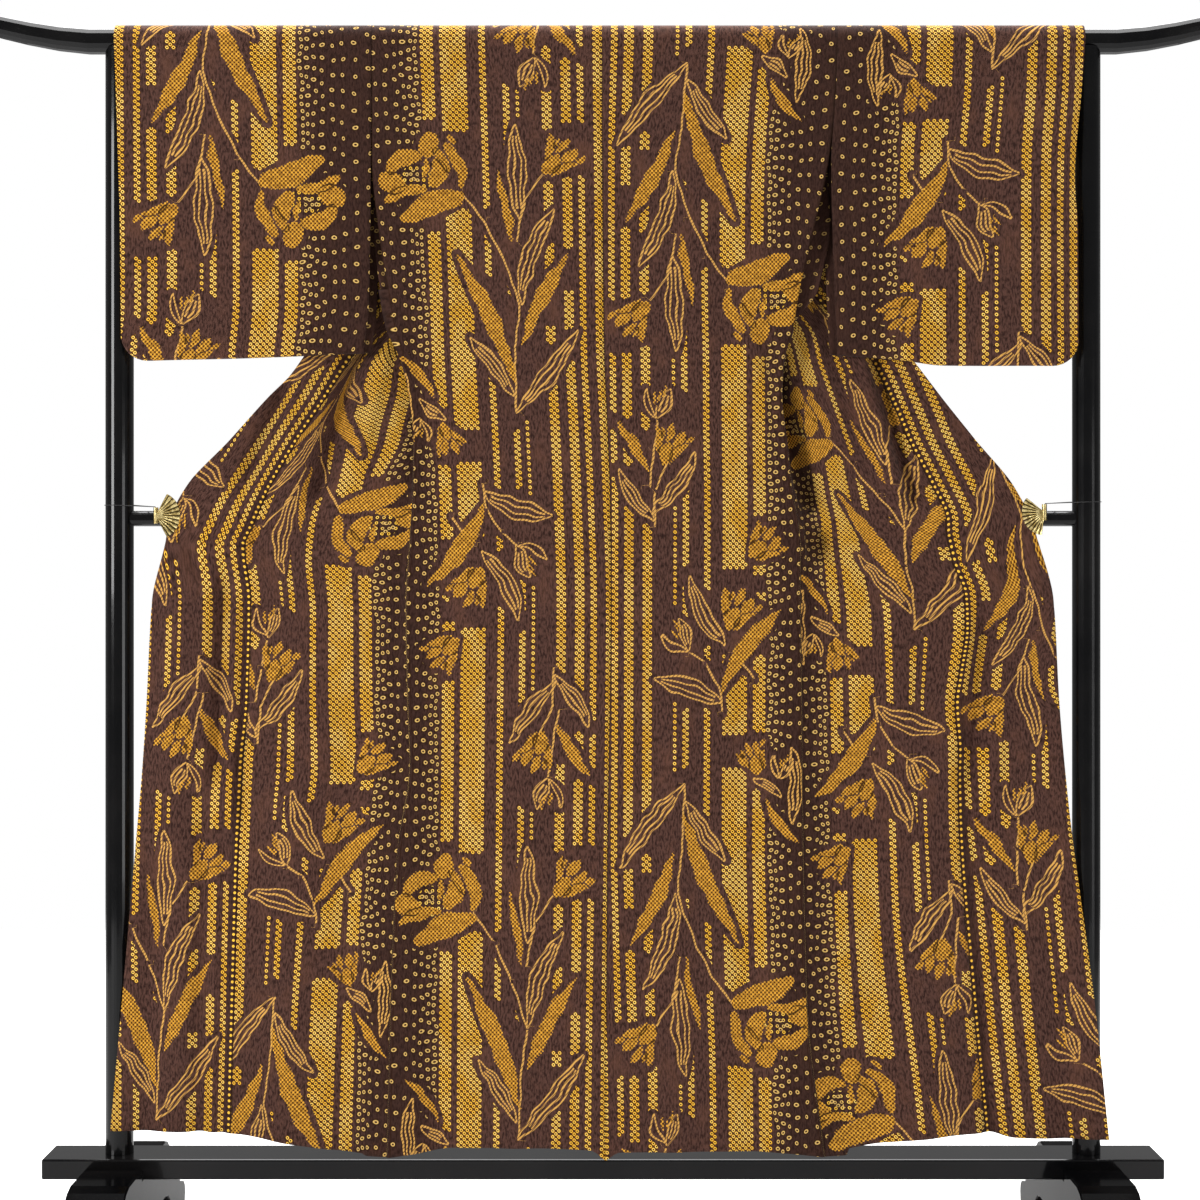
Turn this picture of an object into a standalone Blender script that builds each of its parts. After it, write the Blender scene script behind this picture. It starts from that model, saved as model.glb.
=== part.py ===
"""A yukata hung by its sleeves on a lacquered kimono stand, seen from its back.

The robe hangs over the top bar. Its back hangs on the -Y side, its fronts hang behind
the bar, fold back on themselves and are drawn out to the sides, where two brass fan clips
hold their edges. Units are metres, +Z is up, and the floor is at Z = 0.
"""
import math
from collections import namedtuple

import bmesh
import bpy
import numpy as np

COLLECTION = "yukata_on_stand"

# Stand: driving sizes
BAR_HEIGHT = 1.662          # middle of the top bar
BAR_RADIUS = 0.018
BAR_HALF_LENGTH = 0.900
BAR_STRAIGHT = 0.700        # the ends rise beyond this distance from the middle
BAR_END_LIFT = 0.042
POST_OUT = 0.659            # middle of each post, out from the middle of the stand
POST_RADIUS = 0.019
POST_TOP = 1.652
MID_BAR_HEIGHT = 1.011
MID_BAR_RADIUS = 0.0105
MID_BAR_TENON = 0.650       # its ends sit in the posts as far out as this
BASE_HALF_LENGTH = 0.756
BASE_HALF_DEPTH = 0.040
BASE_BOTTOM = 0.1195
BASE_TOP = 0.147
FOOT_HALF_WIDTH = 0.039
FOOT_HALF_LENGTH = 0.270
FOOT_TOP = 0.133
FOOT_NOSE = 0.042           # height of the foot's rounded end
FOOT_ARCH = 0.052           # height of the hollow under the foot
FIT = 0.0003                # gap between pieces that touch

# Cloth
WALL = 0.0012
DRAPE_RADIUS = 0.0205       # the cloth's middle surface where it passes over the bar
NECK_OUT = 0.087            # the neck opening's half width at the shoulder
SEAM_GAP = 0.0003
LEFT_SEAM_TOP = 1.322       # below these the back and the front are sewn together
RIGHT_SEAM_TOP = 1.270
OKUMI_TOP = 1.520
HEM_MEAN = 0.150
CLIP_DEPTH = -0.0145        # the cloth's y where the clips hold it

ROW_HEIGHTS = (1.662, 1.605, 1.550, 1.500, 1.440, 1.380, LEFT_SEAM_TOP, RIGHT_SEAM_TOP,
               1.220, 1.170, 1.120, 1.075, 1.040, 1.010, 0.980, 0.940, 0.890, 0.820, 0.740,
               0.640, 0.520, 0.390, 0.260, HEM_MEAN)

# Back panel: depth of its middle surface at each height
BACK_DEPTH = {
    "height": (1.662, 1.500, 1.320, 1.226, 1.120, 1.015, 0.900, 0.764, 0.630, 0.360, 0.150),
    "y": (-0.0205, -0.0220, -0.0225, -0.0230, -0.0245, -0.0265, -0.0300, -0.0340, -0.0380,
          -0.0460, -0.0515),
}

# The front of each half, a row for each height. "side" is the back's side edge, "fold" the
# line where the front turns back on itself, "seam" the join with the overlap panel and
# "edge" the outline; all four are distances out from the middle. "lap" is how much farther
# out the front's own side edge hangs and "gap" how far it lies behind the back panel;
# "turn" is the radius of the fold, and the last three are depths.
FRONT_COLUMNS = ("height", "side", "fold", "seam", "edge", "lap", "gap", "turn",
                 "fold_y", "seam_y", "edge_y")
LEFT_FRONT = (
    (1.662, .3130, .0870, .1080, .1080, .0000, .0410, .0035, .0205, .0275, .0275),
    (1.600, .3130, .0880, .1150, .1310, .0000, .0368, .0035, .0200, .0270, .0270),
    (1.500, .3128, .1350, .1800, .2115, .0000, .0300, .0035, .0180, .0245, .0230),
    (1.380, .3010, .1900, .2620, .2980, .0095, .0160, .0030, .0120, .0175, .0130),
    (1.322, .2911, .2170, .2960, .3460, .0110, .0060, .0030, .0085, .0135, .0080),
    (1.270, .2822, .2400, .3240, .3825, .0100, .0058, .0030, .0045, .0095, .0045),
    (1.226, .2694, .2500, .3490, .4133, .0030, .0055, .0028, .0010, .0060, .0010),
    (1.175, .2600, .2430, .3780, .4577, .0000, .0052, .0026, -.0050, -.0005, -.0035),
    (1.120, .2538, .2420, .4130, .5055, .0000, .0050, .0025, -.0110, -.0070, -.0075),
    (1.045, .2538, .2600, .4557, .5720, .0000, .0048, .0022, -.0168, -.0125, -.0145),
    (1.000, .2565, .2640, .4750, .5900, .0000, .0045, .0022, -.0185, -.0145, -.0145),
    (0.975, .2579, .2660, .4854, .5945, .0000, .0045, .0022, -.0195, -.0155, -.0145),
    (0.900, .2626, .2720, .4766, .6112, .0000, .0040, .0018, -.0210, -.0190, -.0170),
    (0.764, .2600, .2740, .4800, .6180, .0000, .0035, .0014, -.0265, -.0235, -.0200),
    (0.680, .2566, .2720, .4880, .6230, .0000, .0030, .0010, -.0290, -.0252, -.0212),
    (0.560, .2730, .2900, .4920, .6330, .0000, .0030, .0010, -.0330, -.0287, -.0236),
    (0.360, .2816, .3050, .4970, .6500, .0000, .0030, .0010, -.0385, -.0330, -.0265),
    (0.150, .2860, .3160, .5023, .6680, .0000, .0030, .0010, -.0450, -.0370, -.0300),
)
RIGHT_FRONT = (
    (1.662, .3180, .0870, .1080, .1080, .0000, .0410, .0035, .0205, .0275, .0275),
    (1.600, .3155, .0880, .1150, .1310, .0000, .0368, .0035, .0200, .0270, .0270),
    (1.500, .3060, .1320, .1740, .2095, .0015, .0300, .0035, .0180, .0245, .0230),
    (1.380, .2800, .1840, .2520, .3020, .0270, .0190, .0030, .0120, .0175, .0130),
    (1.322, .2667, .2080, .2850, .3470, .0260, .0130, .0030, .0085, .0135, .0080),
    (1.270, .2573, .2230, .3300, .3880, .0000, .0060, .0029, .0045, .0095, .0045),
    (1.226, .2437, .2290, .3700, .4240, .0000, .0055, .0028, .0010, .0060, .0010),
    (1.175, .2405, .2330, .3920, .4620, .0000, .0052, .0026, -.0050, -.0005, -.0035),
    (1.120, .2465, .2440, .4130, .5050, .0000, .0050, .0025, -.0110, -.0070, -.0075),
    (1.045, .2535, .2600, .4380, .5640, .0000, .0048, .0022, -.0168, -.0125, -.0145),
    (1.000, .2620, .2700, .4520, .5840, .0000, .0045, .0022, -.0185, -.0145, -.0145),
    (0.975, .2640, .2730, .4600, .5920, .0000, .0045, .0022, -.0195, -.0155, -.0145),
    (0.900, .2635, .2740, .4760, .6110, .0000, .0040, .0018, -.0210, -.0190, -.0170),
    (0.764, .2650, .2790, .4820, .6180, .0000, .0035, .0014, -.0265, -.0235, -.0200),
    (0.630, .2655, .2860, .4810, .6296, .0000, .0030, .0010, -.0310, -.0270, -.0225),
    (0.360, .2705, .2960, .4996, .6640, .0000, .0030, .0010, -.0385, -.0330, -.0270),
    (0.150, .2938, .3240, .5200, .6855, .0000, .0030, .0010, -.0450, -.0370, -.0310),
)

# Hem heights, by distance out from the middle
BACK_HEM = {
    "left": {"out": (0.000, 0.020, 0.100, 0.190, 0.250, 0.286),
             "height": (0.149, 0.163, 0.165, 0.165, 0.158, 0.153)},
    "right": {"out": (0.000, 0.020, 0.060, 0.160, 0.250, 0.294),
              "height": (0.149, 0.160, 0.160, 0.160, 0.158, 0.154)},
}
FRONT_HEM = {
    "left": {"out": (0.286, 0.350, 0.430, 0.502, 0.668),
             "height": (0.153, 0.158, 0.170, 0.181, 0.183)},
    "right": {"out": (0.294, 0.330, 0.410, 0.520, 0.560, 0.686),
              "height": (0.154, 0.163, 0.172, 0.181, 0.175, 0.171)},
}

# Largest folds on the fronts: a line from its top to its foot, how wide and how deep it
# is. A positive depth pushes the cloth back, away from the viewer.
Fold = namedtuple("Fold", "top_out top_height foot_out foot_height width depth")
LEFT_FOLDS = (
    Fold(.520, .930, .516, .560, .022, .0090),
    Fold(.560, .960, .590, .420, .024, -.0040),
    Fold(.360, 1.180, .430, .860, .020, .0050),
    Fold(.345, .800, .350, .200, .028, .0050),
    Fold(.415, .700, .430, .190, .026, -.0040),
    Fold(.600, .620, .610, .190, .022, .0040),
)
RIGHT_FOLDS = (
    Fold(.285, 1.260, .312, .930, .024, .0090),
    Fold(.500, 1.000, .530, .560, .020, .0070),
    Fold(.450, 1.120, .520, .880, .018, -.0040),
    Fold(.360, .820, .370, .200, .028, .0050),
    Fold(.430, .700, .440, .190, .024, -.0040),
    Fold(.600, .700, .625, .190, .024, .0045),
)

# Sleeves: how far out the outer edge lies at each height, the inner edge below the armhole,
# and the bottom edge
SLEEVE = {
    "left": {
        "edge": {"height": (1.683, 1.440, 1.230), "out": (0.6635, 0.6535, 0.6510)},
        "inner": {"height": (1.683, 1.490, 1.300, 1.235),
                  "out": (0.3133, 0.3141, 0.3168, 0.3240)},
        "bottom": {"out": (0.320, 0.450, 0.610), "height": (1.2346, 1.2290, 1.2237)},
    },
    "right": {
        "edge": {"height": (1.683, 1.600, 1.470, 1.400, 1.230),
                 "out": (0.6553, 0.6486, 0.6375, 0.6420, 0.6430)},
        "inner": {"height": (1.683, 1.600, 1.490, 1.300, 1.235),
                  "out": (0.3183, 0.3158, 0.3090, 0.3141, 0.3168)},
        "bottom": {"out": (0.317, 0.405, 0.460, 0.605),
                   "height": (1.2316, 1.2250, 1.2180, 1.2167)},
    },
}
CUFF_BOTTOM = 1.450         # the outer edge is open above this height
SLEEVE_CORNER = 0.035       # radius of the rounded lower corner
SLEEVE_SPREAD_IN = 0.480    # between these distances the sleeve moves in front of the post
SLEEVE_SPREAD_OUT = 0.600
SLEEVE_POST_LIMIT = 0.637   # the far layer stays inside the post above the cuff's bottom
FAR_INNER = {"height": (1.662, 1.235), "y": (0.0205, -0.0130)}
FAR_OUTER = {"height": (1.662, 1.640, 1.475, 1.235), "y": (0.0205, 0.0180, -0.0222, -0.0222)}
NEAR_FORWARD = 0.0065       # how far the near layer moves forward in front of the post

# Collar: a folded band, behind the fronts' edges and behind the bar at the neck
COLLAR_WIDTH = 0.055
COLLAR_WALL = 0.0022
COLLAR_END = 1.052          # its lower ends, just above the clips
COLLAR_BEHIND = 0.0030
COLLAR_NECK_TOP = 1.6720
COLLAR_NECK_DEPTH = 0.0201  # just behind the back panel's neck edge

# Clips: pivot, the fan's tilt below the level, its radius and the half angle it spreads
Clip = namedtuple("Clip", "out height tilt radius spread")
LEFT_CLIP = Clip(.6065, 1.0145, 0.0, .0330, 62.0)
RIGHT_CLIP = Clip(.5990, 1.0190, 22.0, .0310, 60.0)
CLIP_PLATE = 0.0010
CLIP_PLEATS = 11
CLIP_PLEAT_DEPTH = 0.0009
CLIP_SLOT = 0.0005
CLIP_PIN_RADIUS = 0.0034
CLIP_PIN_HALF = 0.0110
TIE_RADIUS = 0.0006

# Finishes: colour, roughness, metallic
LACQUER = ((0.006, 0.006, 0.007), 0.12, 0.0)
BRASS = ((0.44, 0.34, 0.13), 0.32, 1.0)
CORD_BLACK = ((0.01, 0.01, 0.01), 0.70, 0.0)
CLOTH_BROWN = ((0.055, 0.030, 0.024), 0.88, 0.0)


def clear_scene():
    for item in list(bpy.context.scene.objects):
        bpy.data.objects.remove(item, do_unlink=True)


def new_collection(name):
    group = bpy.data.collections.new(name)
    bpy.context.scene.collection.children.link(group)
    return group


def material(name, finish):
    colour, roughness, metallic = finish
    made = bpy.data.materials.new(name)
    made.use_nodes = True
    shader = made.node_tree.nodes["Principled BSDF"]
    shader.inputs["Base Color"].default_value = (*colour, 1.0)
    shader.inputs["Roughness"].default_value = roughness
    shader.inputs["Metallic"].default_value = metallic
    return made


def place(item, finish, group):
    """Give an object its own material and put it in a collection."""
    item.data.materials.clear()
    item.data.materials.append(material(item.name + "_finish", finish))
    for owner in list(item.users_collection):
        owner.objects.unlink(item)
    group.objects.link(item)
    return item


def smooth_through(at, values, wanted):
    """A smooth curve through a table's points that never swings past them.

    The slope at each point is the harmonic mean of the slopes beside it, or zero at a
    peak, and each stretch between two points is a cubic with those end slopes.
    """
    at = np.asarray(at, float)
    values = np.asarray(values, float)
    if at[0] > at[-1]:
        at, values = at[::-1], values[::-1]
    wanted = np.clip(wanted, at[0], at[-1])
    step = np.diff(at)
    rise = np.diff(values) / step
    slope = np.zeros_like(values)
    same_way = rise[:-1] * rise[1:] > 0.0
    both = np.where(same_way, rise[:-1] + rise[1:], 1.0)
    slope[1:-1] = np.where(same_way, 2.0 * rise[:-1] * rise[1:] / both, 0.0)
    slope[0], slope[-1] = rise[0], rise[-1]
    span = np.clip(np.searchsorted(at, wanted, side="right") - 1, 0, len(at) - 2)
    width = step[span]
    t = (wanted - at[span]) / width
    return (values[span] * (1 + 2 * t) * (1 - t) ** 2 + values[span + 1] * t * t * (3 - 2 * t)
            + width * t * (1 - t) * (slope[span] * (1 - t) - slope[span + 1] * t))


def soft_step(low, high, value):
    """0 below low, 1 above high, and an S curve between."""
    t = np.clip((value - low) / (high - low), 0.0, 1.0)
    return t * t * (3.0 - 2.0 * t)


def column(table, columns, name, height):
    rows = np.array(table)
    return smooth_through(rows[:, 0], rows[:, columns.index(name)], height)


class Half:
    """One half of the robe: its tables, and +1 for the right or -1 for the left."""

    def __init__(self, name, sign, front, folds, seam_top):
        self.name = name
        self.sign = sign
        self.front = front
        self.folds = folds
        self.seam_top = seam_top

    def of(self, name, height):
        return column(self.front, FRONT_COLUMNS, name, height)

    def back_y(self, out, height):
        """The back panel's depth: its table, with soft ridges at the middle and side seams."""
        base = smooth_through(BACK_DEPTH["height"], BACK_DEPTH["y"], height)
        low = soft_step(1.15, 0.20, height)
        ridges = np.cos(2.0 * math.pi * out / 0.285)
        side_fold = np.exp(-((out - 0.225) / 0.022) ** 2) * soft_step(1.45, 1.15, height)
        return base - 0.0028 * low * ridges + 0.0030 * side_fold

    def fold_push(self, out, height):
        """Each fold pushes the cloth by its depth along its line, fading to both sides."""
        push = np.zeros_like(out + height)
        for fold in self.folds:
            top, foot = fold.top_height, fold.foot_height
            along = np.clip((top - height) / (top - foot), 0.0, 1.0)
            middle = fold.top_out + (fold.foot_out - fold.top_out) * along
            fade = soft_step(top + 0.03, top - 0.12, height)
            fade = fade * (0.35 + 0.65 * soft_step(foot - 0.05, foot + 0.25, height))
            push = push + fold.depth * fade * np.exp(-((out - middle) / fold.width) ** 2)
        return push

    def front_y(self, out, height):
        """Depth of the turned-out front, from its fold through the seam to the outline."""
        fold, seam, edge = (self.of(key, height) for key in ("fold", "seam", "edge"))
        fold_y = self.of("fold_y", height) + 2.0 * self.of("turn", height)
        seam_y = self.of("seam_y", height)
        edge_y = self.of("edge_y", height)
        inner = np.clip((out - fold) / (seam - fold), 0.0, 1.0)
        outer = np.clip((out - seam) / np.maximum(edge - seam, 1e-4), 0.0, 1.0)
        flat = fold_y + (seam_y - fold_y) * inner + (edge_y - seam_y) * outer
        by_clip = np.exp(-((out - 0.59) / 0.045) ** 2 - ((height - 1.012) / 0.045) ** 2)
        by_bar = np.exp(-((height - MID_BAR_HEIGHT) / 0.030) ** 2)
        calm = (1.0 - by_clip) * (1.0 - by_bar)
        return flat + self.fold_push(out, height) * calm

    def hem(self, table, out):
        return smooth_through(table[self.name]["out"], table[self.name]["height"], out)

    def points(self, out, y, height):
        out, y, height = np.broadcast_arrays(out, y, height)
        return np.stack([self.sign * out, y, height], axis=-1)


LEFT = Half("left", -1.0, LEFT_FRONT, LEFT_FOLDS, LEFT_SEAM_TOP)
RIGHT = Half("right", 1.0, RIGHT_FRONT, RIGHT_FOLDS, RIGHT_SEAM_TOP)


def cloth_object(name, grids, group, wall=WALL):
    """A wall of cloth from grids of points: shared points are merged, then Solidify."""
    mesh = bpy.data.meshes.new(name)
    net = bmesh.new()
    for grid in grids:
        rows, columns = grid.shape[:2]
        verts = [[net.verts.new(point) for point in row] for row in grid.tolist()]
        for r in range(rows - 1):
            for c in range(columns - 1):
                net.faces.new((verts[r][c], verts[r + 1][c], verts[r + 1][c + 1], verts[r][c + 1]))
    bmesh.ops.remove_doubles(net, verts=net.verts, dist=1e-6)
    bmesh.ops.recalc_face_normals(net, faces=net.faces)
    net.to_mesh(mesh)
    net.free()
    mesh.shade_smooth()
    item = bpy.data.objects.new(name, mesh)
    bpy.context.scene.collection.objects.link(item)
    solid = item.modifiers.new("wall", "SOLIDIFY")
    solid.thickness = wall
    solid.offset = 0.0
    solid.use_even_offset = True
    solid.use_quality_normals = True
    return place(item, CLOTH_BROWN, group)


def row_heights(hem):
    """Heights down a column: the shared rows, stretched to end at that column's hem."""
    share = (BAR_HEIGHT - np.array(ROW_HEIGHTS)) / (BAR_HEIGHT - HEM_MEAN)
    return BAR_HEIGHT - share[:, None] * (BAR_HEIGHT - hem)


def body_panel(half, group):
    """Back, shoulder and front in one piece, folded over the bar and turned out below.

    The back grid runs out from the middle seam to the side; over the bar it becomes the
    first run of the front, which turns at the fold and runs out again to the overlap seam.
    """
    centre_columns, side_columns, turned_columns = 4, 6, 8
    side_at_hem = float(half.of("side", HEM_MEAN))
    centre = np.linspace(SEAM_GAP / 2, NECK_OUT, centre_columns + 1)
    share = np.linspace(0.0, 1.0, side_columns + 1)

    # Back
    hem_out = np.concatenate([centre, NECK_OUT + share[1:] * (side_at_hem - NECK_OUT)])
    height = row_heights(half.hem(BACK_HEM, hem_out))
    side = half.of("side", height[:, -1])
    out = np.concatenate([np.broadcast_to(centre, (len(height), len(centre))),
                          NECK_OUT + share[None, 1:] * (side[:, None] - NECK_OUT)], axis=1)
    back = half.points(out, half.back_y(out, height), height)
    back[0, :, 1] = -DRAPE_RADIUS

    # Over the bar
    turn = np.radians(np.linspace(0.0, 180.0, 7))[:, None]
    over_out = out[0][None, :]
    over = half.points(over_out, -DRAPE_RADIUS * np.cos(turn),
                       BAR_HEIGHT + DRAPE_RADIUS * np.sin(turn))
    neck_over = over[:6, :centre_columns + 1]
    side_over = over[:, centre_columns:]

    # First run of the front, behind the back
    fold_at_hem = float(half.of("fold", HEM_MEAN))
    side_end = half.hem(FRONT_HEM, np.array([side_at_hem]))
    run_height = row_heights(np.broadcast_to(side_end, side_columns + 1))
    z = run_height[:, 0]
    side, fold, gap = half.of("side", z), half.of("fold", z), half.of("gap", z)
    start_y = half.back_y(side, z) + gap
    closing = soft_step(1.26, 1.03, z)
    start = side + half.of("lap", z) + 0.004 * closing
    fold_y = half.of("fold_y", z)
    run_out = start[:, None] + (fold - start)[:, None] * share[None, :]
    run_y = start_y[:, None] + (fold_y - start_y)[:, None] * share[None, :]
    run_y[0] = DRAPE_RADIUS
    first = half.points(run_out[:, ::-1], run_y[:, ::-1], run_height)

    # Rounded side seam between the back and the first run, below the side opening
    sewn = np.array(ROW_HEIGHTS) <= half.seam_top
    tip_out = side + half.of("lap", z) + 0.0022
    tip_y = half.back_y(side, z) + gap * (0.5 - 0.55 * closing)
    seam = np.stack([back[:, -1], half.points(tip_out, tip_y, z), first[:, -1]], axis=1)

    # The turn and the run out to the overlap seam
    turn_radius = half.of("turn", z)
    opening = soft_step(1.18, 1.06, z)
    tip = half.points(fold - turn_radius * (1.0 - opening) + 0.002 * opening,
                      fold_y + turn_radius, z)
    out_share = np.linspace(0.0, 1.0, turned_columns + 1)
    seam_at_hem = float(half.of("seam", HEM_MEAN))
    hem_out = fold_at_hem + out_share * (seam_at_hem - fold_at_hem)
    height = row_heights(half.hem(FRONT_HEM, hem_out))
    height[:, 0] = z
    start = half.of("fold", height) + 0.004 * soft_step(1.18, 1.06, height)
    end = half.of("seam", height) - SEAM_GAP / 2
    out = start + (end - start) * out_share
    turned = half.points(out, half.front_y(out, height), height)
    turn_strip = np.stack([first[:, 0], tip, turned[:, 0]], axis=1)

    grids = [back, neck_over, side_over, first[:, ::-1], seam[sewn], turn_strip, turned]
    return cloth_object("body_" + half.name, grids, group)


def okumi(half, group):
    """Front overlap panel, from the seam with the front out to the outline."""
    share = np.linspace(0.0, 1.0, 7)
    seam_at_hem = float(half.of("seam", HEM_MEAN))
    edge_at_hem = float(half.of("edge", HEM_MEAN))
    hem_out = seam_at_hem + share * (edge_at_hem - seam_at_hem)
    height = row_heights(half.hem(FRONT_HEM, hem_out))
    height = height[np.array(ROW_HEIGHTS) < OKUMI_TOP]
    start = half.of("seam", height) + SEAM_GAP / 2
    out = start + (half.of("edge", height) - start) * share
    return cloth_object("okumi_" + half.name, [half.points(out, half.front_y(out, height), height)],
                        group)


def sleeve(half, group):
    """A flat bag over the bar: open to the body, open at the cuff, closed below it.

    Near and far layers share their columns. A round fold joins them along the bottom and,
    below the cuff, along the outer edge; the lower outer corner is a quarter circle.
    """
    tables = SLEEVE[half.name]
    corner = np.radians((0.0, 30.0, 60.0, 90.0))
    edge_low = tables["edge"]["out"][-1]
    straight = np.linspace(0.0, 1.0, 9)[:-1]
    down = np.linspace(0.0, 1.0, 11)

    def outline(z, far):
        """Distances out of a row's columns, with the rounded corner's columns last."""
        inner = smooth_through(tables["inner"]["height"], tables["inner"]["out"], z)
        inner = inner + SEAM_GAP
        edge = smooth_through(tables["edge"]["height"], tables["edge"]["out"], z)
        if far:
            inside = np.minimum(edge, SLEEVE_POST_LIMIT)
            edge = inside + (edge - inside) * soft_step(1.478, CUFF_BOTTOM, z)
        bend = edge - SLEEVE_CORNER
        row = [inner + (bend - inner) * s for s in straight]
        row += [bend + SLEEVE_CORNER * math.sin(a) for a in corner]
        return np.stack(row, axis=-1)

    bottom_out = outline(np.full(1, 1.235), False)[0]
    rise = np.concatenate([np.zeros(len(straight)), SLEEVE_CORNER * (1.0 - np.cos(corner))])
    bottom = smooth_through(tables["bottom"]["out"], tables["bottom"]["height"], bottom_out) + rise

    def layer_y(out, z, far):
        spread = soft_step(SLEEVE_SPREAD_IN, SLEEVE_SPREAD_OUT, out)
        near = smooth_through(BACK_DEPTH["height"], BACK_DEPTH["y"], z)
        near = near - NEAR_FORWARD * spread * soft_step(BAR_HEIGHT, 1.475, z)
        if not far:
            return near
        inner = np.interp(z, FAR_INNER["height"][::-1], FAR_INNER["y"][::-1])
        outer = np.interp(z, FAR_OUTER["height"][::-1], FAR_OUTER["y"][::-1])
        return inner + (outer - inner) * spread

    fold = 0.004
    height = BAR_HEIGHT + (bottom[None, :] + fold - BAR_HEIGHT) * down[:, None]
    near_out = np.array([[outline(height[r, c], False)[c] for c in range(height.shape[1])]
                         for r in range(height.shape[0])])
    far_out = np.array([[outline(height[r, c], True)[c] for c in range(height.shape[1])]
                        for r in range(height.shape[0])])
    near_y = layer_y(near_out, height, False)
    far_y = layer_y(far_out, height, True)

    # Close the outer edge below the cuff: the last column's layers meet halfway
    closed = height[:, -1] <= CUFF_BOTTOM
    middle = 0.5 * (near_y[:, -1] + far_y[:, -1])
    near_y[:, -1] = np.where(closed, middle, near_y[:, -1])
    far_y[:, -1] = np.where(closed, middle, far_y[:, -1])
    far_out[:, -1] = np.where(closed, near_out[:, -1], far_out[:, -1])

    near = half.points(near_out, near_y, height)
    far = half.points(far_out, far_y, height)
    turn = np.radians(np.linspace(0.0, 180.0, 7))[:, None]
    over_out = near_out[0] + (far_out[0] - near_out[0]) * soft_step(100.0, 170.0, np.degrees(turn))
    over = half.points(over_out, -DRAPE_RADIUS * np.cos(turn),
                       BAR_HEIGHT + DRAPE_RADIUS * np.sin(turn))
    low_y = 0.5 * (near_y[-1] + far_y[-1])
    low = half.points(near_out[-1], low_y, height[-1] - fold)
    side_low = half.points(near_out[-1], near_y[-1] * 0.75 + low_y * 0.25, height[-1] - fold * 0.6)
    back_low = half.points(far_out[-1], far_y[-1] * 0.75 + low_y * 0.25, height[-1] - fold * 0.6)
    low[-1] = side_low[-1] = back_low[-1] = near[-1, -1]
    foot = np.stack([near[-1], side_low, low, back_low, far[-1]])
    return cloth_object("sleeve_" + half.name, [near, over, far, foot], group)


def collar(group):
    """Neckband: up behind one front's edge, across behind the bar at the neck, and down."""

    def climb(half):
        heights = np.array((COLLAR_END, 1.085, 1.120, 1.170, 1.226, 1.280, 1.340, 1.400, 1.460,
                            1.520, 1.570, 1.610, 1.640))
        edge = 0.087 + (half.of("edge", heights) - 0.087) * np.where(heights > 1.601, 0.0, 1.0)
        line = 0.087 + 0.80 * (1.655 - heights)
        return heights, np.where(heights > 1.55, line, edge - 0.0012)

    def band(half):
        heights, edge = climb(half)
        step_out = np.gradient(edge)
        step_up = np.gradient(heights)
        length = np.hypot(step_out, step_up)
        across_out = -step_up / length
        across_up = step_out / length
        share = np.linspace(0.0, 1.0, 4)[None, :]
        out = edge[:, None] + COLLAR_WIDTH * across_out[:, None] * share
        up = heights[:, None] + COLLAR_WIDTH * across_up[:, None] * share
        lift = soft_step(1.40, 1.60, heights)[:, None] * 0.0012
        y = half.front_y(out, up) + COLLAR_BEHIND + lift
        return half.points(out, y, up)

    share = np.linspace(0.0, 1.0, 4)[None, :]
    neck_x = np.linspace(-0.080, 0.080, 11)[:, None]
    turned = np.abs(neck_x) / 0.080
    lean = np.sign(neck_x) * -0.66 * turned ** 2
    top = COLLAR_NECK_TOP - 0.0045 * turned ** 2
    neck_y = COLLAR_NECK_DEPTH + 0.0015 * share + 0.0100 * turned ** 3
    neck = np.stack(np.broadcast_arrays(neck_x + COLLAR_WIDTH * lean * share, neck_y,
                                        top - COLLAR_WIDTH * share * np.sqrt(1 - lean ** 2)),
                    axis=-1)
    strip = np.concatenate([band(LEFT), neck, band(RIGHT)[::-1]])
    return cloth_object("collar", [strip], group, COLLAR_WALL)


def mesh_from_curve(name, curve):
    """A curve's tube as a closed mesh object, with its end caps welded on."""
    guide = bpy.data.objects.new(name + "_guide", curve)
    bpy.context.scene.collection.objects.link(guide)
    bpy.context.view_layer.update()
    seen = guide.evaluated_get(bpy.context.evaluated_depsgraph_get())
    mesh = bpy.data.meshes.new_from_object(seen)
    mesh.name = name
    net = bmesh.new()
    net.from_mesh(mesh)
    bmesh.ops.remove_doubles(net, verts=net.verts, dist=0.00005)
    bmesh.ops.recalc_face_normals(net, faces=net.faces)
    net.to_mesh(mesh)
    net.free()
    item = bpy.data.objects.new(name, mesh)
    item.matrix_world = guide.matrix_world
    bpy.data.objects.remove(guide, do_unlink=True)
    bpy.context.scene.collection.objects.link(item)
    return item


def tube(name, route, radii, depth, resolution):
    """A tube along a route of points; radii scale its depth at each of them."""
    curve = bpy.data.curves.new(name, "CURVE")
    curve.dimensions = "3D"
    curve.bevel_depth = depth
    curve.bevel_resolution = resolution
    curve.use_fill_caps = True
    spline = curve.splines.new("POLY")
    spline.points.add(len(route) - 1)
    for point, where, scale in zip(spline.points, route, radii):
        point.co = (*where, 1.0)
        point.radius = scale
    return mesh_from_curve(name, curve)


def cylinder(name, radius, low, high, centre, axis="Z", sides=32):
    length = high - low
    bpy.ops.mesh.primitive_cylinder_add(vertices=sides, radius=radius, depth=length)
    item = bpy.context.active_object
    item.name = name
    middle = 0.5 * (low + high)
    if axis == "X":
        item.rotation_euler = (0.0, math.pi / 2, 0.0)
        item.location = (middle, centre[0], centre[1])
    else:
        item.location = (centre[0], centre[1], middle)
    item.data.shade_smooth()
    item.data.set_sharp_from_angle(angle=math.radians(40))
    return item


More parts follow.
